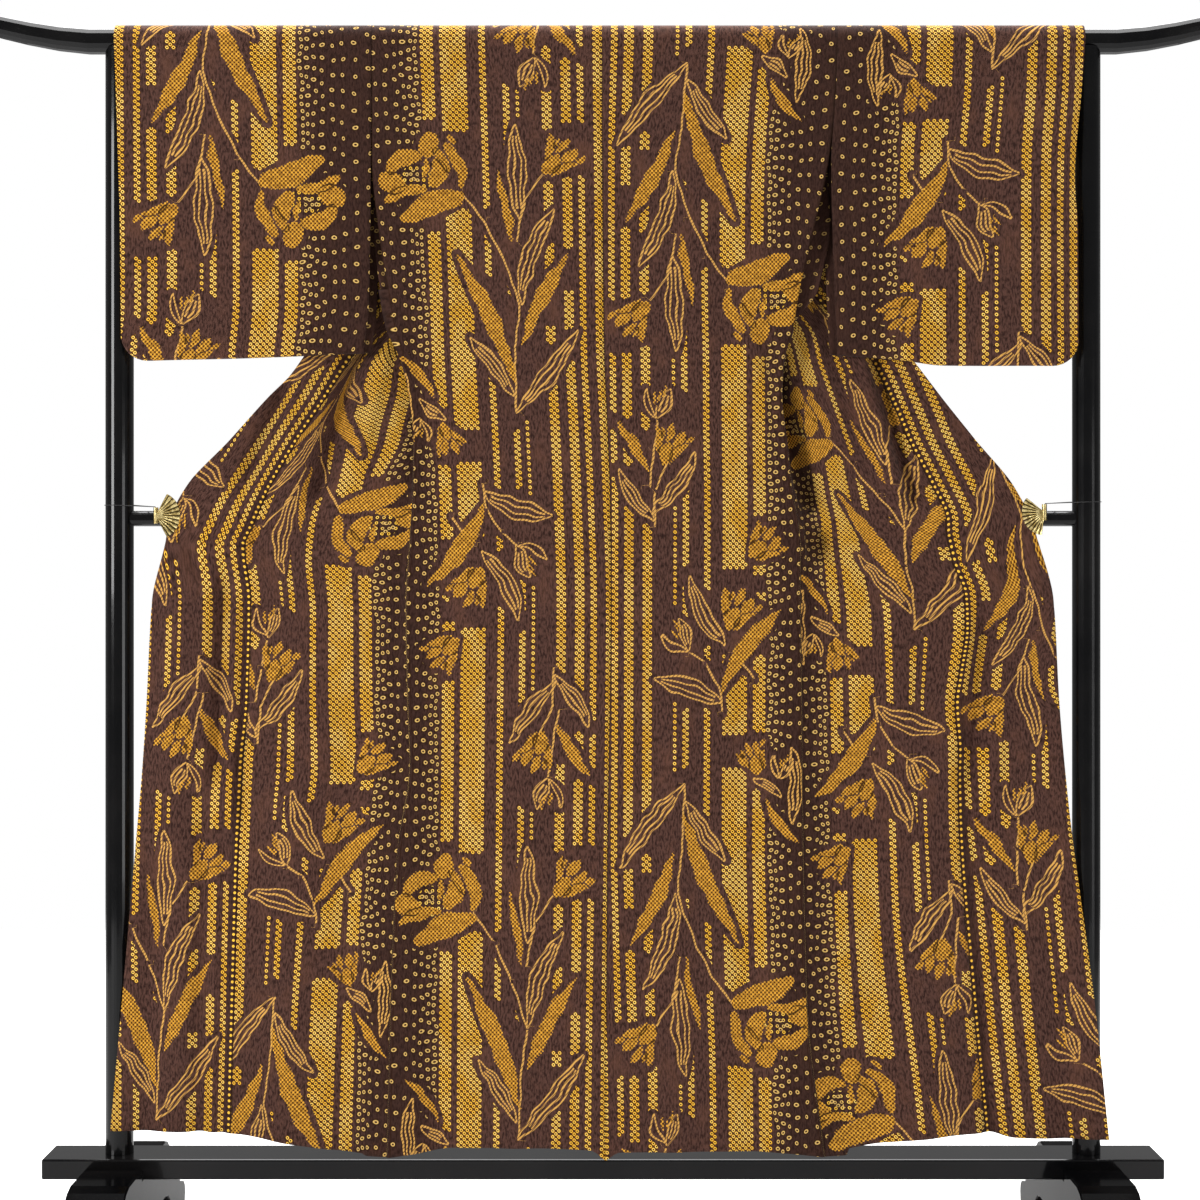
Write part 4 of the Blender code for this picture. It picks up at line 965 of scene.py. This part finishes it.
def collar_band(half, share):
    """One side of the neckband: strips square to its front's edge, from its end up."""
    at = np.array((COLLAR_END, 1.085, 1.120, 1.170, 1.226, 1.280, 1.340, 1.400, 1.460,
                   1.520, 1.570, 1.610, COLLAR_BAND_TOP))
    outline = np.where(at > COLLAR_STRAIGHT, NECK_OUT + COLLAR_SLANT * (COLLAR_AIM - at),
                       half.of("edge", at) - COLLAR_HIDDEN)
    fine = np.linspace(COLLAR_END, COLLAR_BAND_TOP, 110)
    edge = smooth_through(at, outline, fine)
    step_out = np.gradient(edge)
    step_up = np.gradient(fine)
    width = COLLAR_WIDTH / np.hypot(step_out, step_up)
    out = edge[:, None] - (width * step_up)[:, None] * share
    up = fine[:, None] + (width * step_out)[:, None] * share
    lift = COLLAR_LIFT * soft_step(*COLLAR_LIFTS, fine)[:, None]
    return half.points(out, half.front_y(out, up) + COLLAR_BEHIND + lift, up)


def collar_shell(cloth, reverse):
    """Neckband: up behind one front's edge, across behind the bar at the neck, and down."""
    share = shares(10)[None, :]
    neck_x = np.linspace(-COLLAR_NECK_OUT, COLLAR_NECK_OUT, 33)[:, None]
    turned = np.abs(neck_x) / COLLAR_NECK_OUT
    lean = np.sign(neck_x) * -0.66 * turned ** 2
    neck_y = COLLAR_NECK_DEPTH + 0.0015 * share + 0.0100 * turned ** 3
    neck_z = COLLAR_NECK_TOP - 0.0045 * turned ** 2
    neck = stacked(neck_x + COLLAR_WIDTH * lean * share, neck_y,
                   neck_z - COLLAR_WIDTH * share * np.sqrt(1 - lean ** 2))
    strip = np.concatenate([collar_band(LEFT, share), neck, collar_band(RIGHT, share)[::-1]])
    step = np.linalg.norm(np.diff(strip[:, 0], axis=0), axis=1)
    along = np.concatenate([[0.0], np.cumsum(step)])
    bolt = stacked(COLLAR_CUT + COLLAR_WIDTH * share, along[:, None])
    return cloth_shell("yukata_collar", RIGHT, [(strip, bolt)], cloth, reverse)


def srgb(red, green, blue):
    """Linear colour from a display colour."""
    parts = np.array((red, green, blue)) / 255.0
    linear = np.where(parts <= 0.04045, parts / 12.92, ((parts + 0.055) / 1.055) ** 2.4)
    return (*linear.tolist(), 1.0)


class Value:
    """A number that a shader works out; arithmetic on it adds the nodes for that."""

    def __init__(self, graph, socket):
        self.graph = graph
        self.socket = socket

    def __add__(self, other):
        return self.graph.math("ADD", self, other)

    def __sub__(self, other):
        return self.graph.math("SUBTRACT", self, other)

    def __rsub__(self, other):
        return self.graph.math("SUBTRACT", other, self)

    def __mul__(self, other):
        return self.graph.math("MULTIPLY", self, other)

    def __truediv__(self, other):
        return self.graph.math("DIVIDE", self, other)

    def __abs__(self):
        return self.graph.math("ABSOLUTE", self)

    def __lt__(self, other):
        return self.graph.math("LESS_THAN", self, other)

    def __gt__(self, other):
        return self.graph.math("GREATER_THAN", self, other)


class Graph:
    """Short calls that build one material's nodes."""

    def __init__(self, name):
        self.material = bpy.data.materials.new(name)
        self.material.use_nodes = True
        self.tree = self.material.node_tree
        self.shader = self.tree.nodes["Principled BSDF"]

    def feed(self, socket, given):
        """Link a value or a socket into an input, or set the input to a constant."""
        if isinstance(given, Value):
            given = given.socket
        if isinstance(given, bpy.types.NodeSocket):
            self.tree.links.new(given, socket)
        elif given is not None:
            socket.default_value = given

    def add(self, kind, *inputs, **settings):
        node = self.tree.nodes.new(kind)
        for key, value in settings.items():
            setattr(node, key, value)
        for socket, given in zip(node.inputs, inputs):
            self.feed(socket, given)
        return node

    def math(self, operation, *inputs):
        return Value(self, self.add("ShaderNodeMath", *inputs, operation=operation).outputs[0])

    def fraction(self, value):
        return self.math("FRACT", value)

    def most(self, first, second):
        return self.math("MAXIMUM", first, second)

    def least(self, first, second):
        return self.math("MINIMUM", first, second)

    def distance(self, east, south):
        """Length of the slanting side over two square ones."""
        return self.math("SQRT", east * east + south * south)

    def split(self, vector):
        """The three numbers of a vector or a colour."""
        node = self.add("ShaderNodeSeparateXYZ", vector)
        return [Value(self, socket) for socket in node.outputs]

    def corner(self, label):
        """The four numbers that each face's corners keep under a label."""
        found = self.add("ShaderNodeAttribute", attribute_name=label).outputs
        return self.split(found["Vector"]) + [Value(self, found["Alpha"])]

    def spread(self, value, *limits):
        """A value moved from one range to another, limits being both ranges' ends."""
        return Value(self, self.add("ShaderNodeMapRange", value, *limits).outputs[0])

    def step(self, low, high, value):
        """An S curve from 0 at low to 1 at high."""
        node = self.add("ShaderNodeMapRange", value, low, high, 0.0, 1.0,
                        interpolation_type="SMOOTHSTEP")
        return Value(self, node.outputs[0])

    def choose(self, factor, first, second):
        """The first number where the factor is 0 and the second where it is 1."""
        node = self.add("ShaderNodeMix", factor)
        self.feed(node.inputs[2], first)
        self.feed(node.inputs[3], second)
        return Value(self, node.outputs[0])

    def mix(self, factor, first, second, blend="MIX"):
        node = self.add("ShaderNodeMix", data_type="RGBA", blend_type=blend)
        self.feed(node.inputs[0], factor)
        self.feed(node.inputs[6], first)
        self.feed(node.inputs[7], second)
        return node.outputs[2]

    def ramp(self, factor, stops):
        """A colour ramp with sharp steps from (position, colour) pairs."""
        node = self.add("ShaderNodeValToRGB", factor)
        node.color_ramp.interpolation = "CONSTANT"
        elements = node.color_ramp.elements
        elements.remove(elements[1])
        elements[0].position, elements[0].color = stops[0]
        for position, colour in stops[1:]:
            elements.new(position).color = colour
        return node.outputs[0]

    def noise(self, vector, scale, detail=2.0, roughness=0.5):
        node = self.add("ShaderNodeTexNoise", vector)
        node.inputs["Scale"].default_value = scale
        node.inputs["Detail"].default_value = detail
        node.inputs["Roughness"].default_value = roughness
        return Value(self, node.outputs[0])

    def stretch(self, vector, scale):
        node = self.add("ShaderNodeMapping", vector)
        node.inputs["Scale"].default_value = scale
        return node.outputs[0]

    def bump(self, height, distance, strength, onto=None):
        node = self.add("ShaderNodeBump")
        node.inputs["Strength"].default_value = strength
        node.inputs["Distance"].default_value = distance
        self.feed(node.inputs["Height"], height)
        if onto is not None:
            self.feed(node.inputs["Normal"], onto)
        return node.outputs[0]

    def set(self, **values):
        for key, given in values.items():
            self.feed(self.shader.inputs[key.replace("_", " ")], given)


# Stripes of touching rings: where each lies across the bolt, and the stretches of the
# repeat where it is dyed
Stripe = namedtuple("Stripe", "low high dyed")
STRIPES = (
    Stripe(.1286, .1655, ((-.129, .176), (.280, .580), (.621, .731))),
    Stripe(.1015, .1246, ((-.056, .162), (.311, .552), (.626, .731), (.799, .812), (.839, .856))),
    Stripe(.2265, .2370, ((.116, .158), (.569, .670), (.793, .957))),
    Stripe(.1800, .1936, ((-.153, .280), (.311, .372), (.435, .455), (.500, .663), (.718, .745))),
    Stripe(.2110, .2224, ((.112, .218), (.370, .402), (.582, .662), (.783, .827), (.850, .972))),
    Stripe(.3355, .3530, ((.0, .975),)),
    Stripe(.2627, .2800, ((.058, .179), (.246, .287), (.329, .368), (.439, .463), (.517, .915))),
    Stripe(.2920, .3070, ((.015, .042), (.079, .165), (.238, .336), (.389, .443), (.485, .957))),
    Stripe(.3140, .3240, ((.019, .062), (.084, .165), (.238, .976))),
)

# Scattered rings stand in columns that grow denser towards the stripes: place across the
# bolt, distance between rings, and where the first one is
RING_COLUMNS = (
    (.0060, .0225, .0000), (.0235, .0225, .0110), (.0400, .0210, .0020), (.0545, .0195, .0120),
    (.0680, .0170, .0030), (.0790, .0150, .0110), (.0880, .0125, .0010), (.0960, .0095, .0060),
)
RING_INNER = 0.0011         # radius of a ring's dark eye
RING_OUTER = 0.0023
RING_ACROSS = 0.0044        # spacing of the columns of touching rings
RING_DOWN = 0.0080          # spacing of the rings in one column
RING_HALF = 0.0022          # a ring's middle stays this far inside its stripe's edges
RESIST = 0.0075             # undyed margin round the motifs
SPECK = 0.0056              # spacing of the small dots that fill leaves and petals
EDGE_DOTS = 0.0015          # how far those dots stand past a petal's edge
LINE_HALF = 0.0012
RIB_SHARE = 0.36            # a line-drawn leaf's ribs, as a share of its half width
RIB_LEAST = 0.0055          # and the least half width that has them
SEAM_DOT = 0.0019
SEAM_DOT_OUT = 0.0036
SEAM_DOT_STEP = 0.0080
SEAM_CLEAR = 0.0065         # the overlap's stripes stop this far from its seam
SEAM_SHADE = 0.018          # and its cloth is darker up to here
LONE_RING = 0.82            # distances from a lone ring count this much: it is larger
WOBBLE = 0.012              # how far noise moves the scattered rings, stems and outlines

# Distances between which a shade fades out to nothing, or in
# a dark line along the seams, painted shade of their crease
SEAM_CREASE_SHADE = (0.0022, 0.0004)
SELVEDGE_SHADE = (0.115, 0.070)     # the ground is darker among the scattered rings
RING_SHADE = (0.0046, 0.0026)
STRIPE_FILL = (0.0036, 0.0030)      # gold between the touching rings
ROW_GAP = (0.20, 0.10)              # and dark between their slanting rows, in shares of one
PETAL_RIM = (0.0018, 0.0006)

GROUND = srgb(79, 53, 45)
# the crinkle's troughs are darkened towards this: painted shade
GROUND_CRINKLE_SHADE = srgb(40, 23, 18)
GROUND_WARM = srgb(92, 60, 46)
GROUND_DEEP = srgb(34, 18, 12)
RIM_DARK = srgb(38, 18, 5)
RING_PALE = srgb(250, 210, 108)
RING_YELLOW = srgb(238, 184, 62)
RING_LONE = srgb(208, 170, 98)
RING_GOLD = srgb(124, 74, 8)
RING_EYE = srgb(48, 22, 6)
AMBER = srgb(218, 160, 56)
AMBER_DARK = srgb(78, 42, 10)
LINE_TAN = srgb(200, 150, 76)


def stripe_stops(stripes, size, ranges):
    """Ramp stops whose red, green and blue say where each of up to three stripes is."""
    edges = {0.0}
    for stripe in stripes:
        for low, high in ranges(stripe):
            edges.update(edge % size for edge in (low, high) if edge % size < size - 1e-6)
    stops = []
    for edge in sorted(edges):
        at = edge + 1e-6
        colour = [0.0, 0.0, 0.0, 1.0]
        for channel, stripe in enumerate(stripes):
            inside = any(low <= at + turn < high for low, high in ranges(stripe)
                         for turn in (-size, 0.0, size))
            colour[channel] = 1.0 if inside else 0.0
        stops.append((edge / size, colour))
    return stops


def dyed_at(g, across, down):
    """1 where a stripe is dyed, from the place on the bolt.

    A ramp holds 256 colours, so its steps come up to one part of those late.
    """
    width = across / BOLT_WIDTH
    length = g.fraction(down / REPEAT)
    late = 0.5 * BOLT_WIDTH / 255.0
    total = None
    for first in range(0, len(STRIPES), 3):
        group = STRIPES[first:first + 3]
        where = g.ramp(width, stripe_stops(group, BOLT_WIDTH, lambda s: (
            (s.low + RING_HALF - late, s.high - RING_HALF - late),)))
        when = g.ramp(length, stripe_stops(group, REPEAT, lambda s: s.dyed))
        node = g.add("ShaderNodeVectorMath", where, when, operation="DOT_PRODUCT")
        both = Value(g, node.outputs["Value"])
        total = both if total is None else total + both
    return total


def lattice_middle(g, value, pitch, start):
    """Middle of the cell that a place lies in, along one axis of a lattice."""
    return (g.math("FLOOR", (value - start) / pitch) + 0.5) * pitch + start


def touching_rings(g, across, down):
    """Distance from the nearest ring's middle on a staggered lattice, and that middle.

    Two rectangular lattices lie half a cell apart both ways, and the nearer middle counts.
    The last result is the distance on the first of the two.
    """
    found = []
    for shift in (0.0, 1.0):
        middle = (lattice_middle(g, across, 2.0 * RING_ACROSS, shift * RING_ACROSS),
                  lattice_middle(g, down, RING_DOWN, shift * 0.5 * RING_DOWN))
        found.append((g.distance(across - middle[0], down - middle[1]), middle))
    (first, first_middle), (second, second_middle) = found
    other = second < first
    chosen = [g.choose(other, near, far) for near, far in zip(first_middle, second_middle)]
    return g.least(first, second), chosen, first


def scattered_rings(g, across, down):
    """Distance from the nearest scattered ring, in the nearest of their columns.

    The ramp covers the first eighth of a metre of the bolt's width.
    """
    places = [column[0] for column in RING_COLUMNS]
    edges = [0.0] + [0.5 * (low + high) for low, high in zip(places[:-1], places[1:])]
    stops = [(edge * 8.0, (*column, 1.0)) for edge, column in zip(edges, RING_COLUMNS)]
    place, pitch, start = g.split(g.ramp(across * 8.0, stops))
    along = (g.fraction((down + start) / pitch) - 0.5) * pitch
    return g.distance(across - place, along)


def leaf_masks(g, label, wobble, grain):
    """Where one of a face's two motifs is filled, its dark rim, and where its lines are.

    Its half width is a power of a half sine along it. A filled one has a ragged edge of
    dots; a line-drawn one has its rim and, where it is wide enough, a rib on each side.
    """
    along, aside, widest, style = g.corner(label)
    beside = abs(wobble * 0.80 + aside)
    on_it = (along > 0.0) * (along < 1.0)
    swell = g.most(g.math("SINE", along * math.pi) * on_it, 0.0)
    half = widest * g.math("POWER", swell, abs(style))
    inside = half - beside
    solid = (style > 0.0) * on_it
    filled = g.step(-0.0003, 0.0003, grain * EDGE_DOTS + inside) * solid
    rim = g.step(*PETAL_RIM, abs(inside)) * solid
    rib = abs(beside - half * RIB_SHARE) + g.step(RIB_LEAST, RIB_LEAST - 0.0008, half)
    lines = g.least(abs(inside), rib)
    drawn = g.step(LINE_HALF + 0.0004, LINE_HALF - 0.0003, lines) * (style < 0.0) * on_it
    return filled, rim, drawn


def cloth_material(name, strength):
    """Brown crinkled cotton with the bolt's stripes of rings, scattered rings and motifs."""
    g = Graph(name)
    bolt = g.add("ShaderNodeUVMap", uv_map="bolt").outputs[0]
    across, down, _ = g.split(bolt)
    stem, clear, eye, seam = g.corner("trim")

    # Ground: brown with fine wavy crinkles whose troughs are darkened as painted shade, darker
    # among the scattered rings and beside the overlap's seam, and with a dark line of painted shade
    # along the seams
    crinkle = g.noise(g.stretch(bolt, (1.0, 0.32, 1.0)), 400.0, 3.0, 0.6)
    broad = g.noise(g.stretch(bolt, (1.0, 0.6, 1.0)), 26.0, 3.0, 0.6)
    # where the crinkle's bump is low the ground is darkened: painted shade in its troughs
    ground = g.mix(g.step(0.36, 0.60, crinkle), GROUND_CRINKLE_SHADE, GROUND)
    ground = g.mix(g.step(0.50, 0.75, broad) * 0.5, ground, GROUND_WARM)
    ground = g.mix(g.step(*SELVEDGE_SHADE, across) * 0.62, ground, GROUND_DEEP)
    on_overlap = seam > 0.0
    beside_seam = g.step(SEAM_SHADE, SEAM_CLEAR, seam) * on_overlap
    ground = g.mix(beside_seam * 0.5, ground, GROUND_DEEP)
    # a dark line along the seams: painted shade of the seams' crease
    ground = g.mix(g.step(*SEAM_CREASE_SHADE, abs(seam)) * 0.8, ground, RIM_DARK)

    # Rings in stripes, scattered rings and the peony's stamens
    blocked = g.most(clear < RESIST, (seam < SEAM_CLEAR) * on_overlap)
    touching, middle, sparse = touching_rings(g, across, down)
    dyed = dyed_at(g, *middle) - blocked
    touching = touching + (1.0 - g.step(0.2, 0.8, dyed))
    wobble = g.noise(bolt, 45.0, 0.0) * WOBBLE - 0.5 * WOBBLE
    scattered = scattered_rings(g, across + wobble, down) * LONE_RING + blocked
    stamens = sparse + (eye < 0.0)
    near = g.least(g.least(touching, scattered), stamens)
    pale = (g.step(RING_OUTER + 0.0003, RING_OUTER - 0.0005, near)
            * g.step(RING_INNER - 0.0003, RING_INNER + 0.0004, near))
    colour = g.mix(g.step(*RING_SHADE, near) * 0.8, ground, RIM_DARK)
    row = g.fraction(across / (2.0 * RING_ACROSS) - down / RING_DOWN)
    between = g.mix(g.step(*ROW_GAP, abs(row - 0.5)), RING_GOLD, RIM_DARK)
    colour = g.mix(g.step(*STRIPE_FILL, touching), colour, between)
    colour = g.mix(g.step(RING_INNER + 0.0003, RING_INNER - 0.0002, near), colour, RING_EYE)
    ring = g.mix(g.step(0.40, 0.62, broad), RING_YELLOW, RING_PALE)
    ring = g.mix(scattered < touching, ring, RING_LONE)
    colour = g.mix(pale, colour, ring)

    # Row of small dots along the overlap's seam
    along = (g.fraction(down / SEAM_DOT_STEP) - 0.5) * SEAM_DOT_STEP
    dot = g.distance(seam - SEAM_DOT_OUT, along)
    colour = g.mix(g.step(SEAM_DOT + 0.0003, SEAM_DOT - 0.0004, dot), colour, RING_YELLOW)

    # Motifs
    turn = 2.0 * math.pi / SPECK
    grain = g.math("SINE", across * turn) * g.math("SINE", down * turn)
    filled, rim, drawn = leaf_masks(g, LEAF_MARKS[0], wobble, grain)
    beside_filled, beside_rim, beside_drawn = leaf_masks(g, LEAF_MARKS[1], wobble, grain)
    crossing = g.most(filled * beside_rim, beside_filled * rim)
    filled = g.most(filled, beside_filled)
    stem = g.step(LINE_HALF + 0.0005, LINE_HALF - 0.0002, abs(wobble * 0.4 + stem))
    drawn = g.most(g.most(drawn, beside_drawn), stem)
    amber = g.mix(g.step(-0.45, 0.35, grain), AMBER_DARK, AMBER)
    # the leaves' fill is darkened in the crinkle's troughs too: painted shade
    amber = g.mix(g.step(0.58, 0.40, crinkle) * 0.55, amber, AMBER_DARK)
    amber = g.mix(crossing * 0.9, amber, RIM_DARK)
    dots = g.math("SINE", (across + down) * turn)
    colour = g.mix(drawn * g.step(-1.3, 0.0, dots), colour, LINE_TAN)
    colour = g.mix(filled, colour, amber)
    colour = g.mix(1.0 - strength, colour, GROUND)

    normal = g.bump(crinkle, 0.0018, 0.75)
    g.set(Base_Color=colour, Roughness=0.86, Normal=normal, IOR=1.45)
    g.shader.inputs["Sheen Weight"].default_value = 0.03
    g.shader.inputs["Sheen Roughness"].default_value = 0.5
    g.shader.inputs["Specular IOR Level"].default_value = 0.10
    return g.material


def lacquer_material(name, gloss):
    """Black lacquer with faint dust and a slightly uneven coat; the feet's is duller."""
    g = Graph(name)
    place = g.add("ShaderNodeTexCoord").outputs["Object"]
    cloud = g.noise(place, 9.0, 4.0, 0.6)
    dust = g.noise(place, 900.0, 1.0, 0.4)
    colour = g.mix(g.step(0.35, 0.75, cloud), srgb(6, 6, 7), srgb(15, 14, 14))
    colour = g.mix(g.step(0.68, 0.78, dust) * 0.25, colour, srgb(70, 68, 66))
    rough = g.spread(cloud, 0.3, 0.7, 0.09, 0.17)
    g.set(Base_Color=colour, Roughness=rough, Normal=g.bump(cloud, 0.002, 0.08), IOR=1.5)
    g.shader.inputs["Specular IOR Level"].default_value = gloss
    g.shader.inputs["Coat Weight"].default_value = gloss
    g.shader.inputs["Coat Roughness"].default_value = 0.04
    return g.material


# Clips' fans, as in the solids: pivot, tilt below the level and half angle of the fan
Fan = namedtuple("Fan", "out height tilt spread")
FANS = {"clip_left": Fan(.6065, 1.0145, 0.0, 62.0), "clip_right": Fan(.5990, 1.0190, 22.0, 60.0)}
FAN_PLEATS = 11


def brass_material(name):
    """Aged gilt brass with painted shade in the hollows between the fan's ribs, and fine scratches.

    The turn about the fan's pivot, counted in pleats, is a half at each hollow.
    """
    g = Graph("gilt_brass_" + name)
    fan = FANS[name]
    place = g.add("ShaderNodeTexCoord").outputs["Object"]
    out, _, height = g.split(place)
    turn = g.math("ARCTAN2", height - fan.height, fan.out - abs(out))
    pleats_a_radian = FAN_PLEATS / math.radians(2.0 * fan.spread)
    pleat = g.fraction((turn + math.radians(fan.tilt + fan.spread)) * pleats_a_radian)
    hollow = g.step(0.26, 0.10, abs(pleat - 0.5))
    patches = g.noise(place, 160.0, 4.0, 0.6)
    scratches = g.noise(g.stretch(place, (1.0, 1.0, 8.0)), 700.0, 2.0, 0.5)
    colour = g.mix(g.step(0.35, 0.68, patches), srgb(150, 128, 74), srgb(222, 204, 146))
    # the hollows between the fan's ribs are darkened: painted shade
    colour = g.mix(hollow * 0.85, colour, srgb(44, 34, 18))
    rough = g.spread(scratches, 0.3, 0.7, 0.28, 0.50)
    g.set(Base_Color=colour, Metallic=1.0, Roughness=rough,
          Normal=g.bump(scratches, 0.0004, 0.25))
    return g.material


def cord_material():
    """Black twisted thread."""
    g = Graph("black_thread")
    place = g.add("ShaderNodeTexCoord").outputs["Object"]
    twist = g.add("ShaderNodeTexWave", place).outputs[1]
    twist.node.inputs["Scale"].default_value = 700.0
    twist.node.inputs["Distortion"].default_value = 2.0
    colour = g.mix(twist, srgb(10, 10, 11), srgb(38, 36, 36))
    g.set(Base_Color=colour, Roughness=0.72, Normal=g.bump(twist, 0.0003, 0.5))
    return g.material


def floor_material():
    """Nearly white, with faint soft patches."""
    g = Graph("pale_floor")
    place = g.add("ShaderNodeTexCoord").outputs["Object"]
    speck = g.noise(place, 40.0, 3.0, 0.6)
    g.set(Base_Color=g.mix(speck, (0.93, 0.93, 0.93, 1.0), (0.97, 0.97, 0.97, 1.0)),
          Roughness=0.75)
    return g.material


def area_light(name, place, aim, size, power):
    """A flat lamp at a place that faces its aim: its own -Z axis is turned that way."""
    light = bpy.data.lights.new(name, "AREA")
    light.shape = "RECTANGLE"
    light.size, light.size_y = size
    light.energy = power
    item = bpy.data.objects.new(name, light)
    item.location = place
    run = np.array(aim) - np.array(place)
    flat = math.hypot(run[0], run[1])
    item.rotation_euler = (math.atan2(flat, -run[2]), 0.0, math.atan2(run[1], run[0]) - math.pi / 2)
    bpy.context.scene.collection.objects.link(item)


ROOM_LIGHT = 0.35


def studio():
    """Pale floor, a white room, soft lights and the camera.

    The room is white where it is seen, and lights the cloth more weakly than the lamps do,
    so that folds and crinkles show.
    """
    bpy.ops.mesh.primitive_plane_add(size=6.0)
    floor = bpy.context.active_object
    floor.name = "floor"
    floor.data.materials.append(floor_material())
    world = bpy.data.worlds.new("white_room")
    bpy.context.scene.world = world
    world.use_nodes = True
    nodes = world.node_tree.nodes
    seen = nodes.new("ShaderNodeLightPath").outputs["Is Camera Ray"]
    strength = nodes.new("ShaderNodeMapRange")
    strength.inputs["To Min"].default_value = ROOM_LIGHT
    strength.inputs["To Max"].default_value = 1.0
    world.node_tree.links.new(seen, strength.inputs["Value"])
    world.node_tree.links.new(strength.outputs[0], nodes["Background"].inputs["Strength"])
    nodes["Background"].inputs["Color"].default_value = (1.0, 1.0, 1.0, 1.0)
    bpy.context.scene.view_settings.view_transform = "Standard"
    area_light("key", (-3.1, -2.7, 1.6), (0.0, 0.0, 0.7), (1.0, 1.4), 114.0)
    area_light("fill", (2.9, -3.0, 0.6), (0.0, 0.0, 0.6), (1.2, 1.6), 49.0)
    area_light("overhead", (0.0, 1.0, 3.6), (0.0, 1.0, 0.0), (3.0, 3.0), 330.0)
    camera = bpy.data.cameras.new("camera")
    camera.lens = 66.0
    camera.sensor_width = 36.0
    item = bpy.data.objects.new("camera", camera)
    item.location = (-0.004, -3.0, 0.90)
    item.rotation_euler = (math.radians(90.0), 0.0, 0.0)
    bpy.context.scene.collection.objects.link(item)
    bpy.context.scene.camera = item


def dress():
    """The cloth pieces, each in place of its solid, and finishes on the solids that stay."""
    cloth = cloth_material("tie_dyed_cotton", 1.0)
    reverse = cloth_material("tie_dyed_cotton_reverse", 0.75)
    for half in (LEFT, RIGHT):
        pieces = (
            (body_shell, "body_" + half.name, "hung", "stand_top_bar", (0.360, 3.080), 0.78),
            (okumi_shell, "okumi_" + half.name, "hung", "yukata_body_" + half.name,
             (0.155, 1.360), 0.16),
            (sleeve_shell, "sleeve_" + half.name, "folded", "stand_top_bar", (0.340, 0.950), 0.31),
        )
        for build, node, held, rests, flat, area in pieces:
            piece = build(half, cloth, reverse)
            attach(piece, "root")
            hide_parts(node)
    piece = collar_shell(cloth, reverse)
    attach(piece, "root")
    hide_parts("collar")

    dull = lacquer_material("black_lacquer_dull", 0.005)
    finishes = {"stand": lacquer_material("black_lacquer", 0.12), "tie": cord_material()}
    for name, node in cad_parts.items():
        finish = brass_material(name) if name in FANS else finishes.get(name.split("_")[0])
        if name.startswith("stand_foot"):
            finish = dull
        if finish:
            for slot in node.material_slots:
                slot.material = finish


studio()
dress()
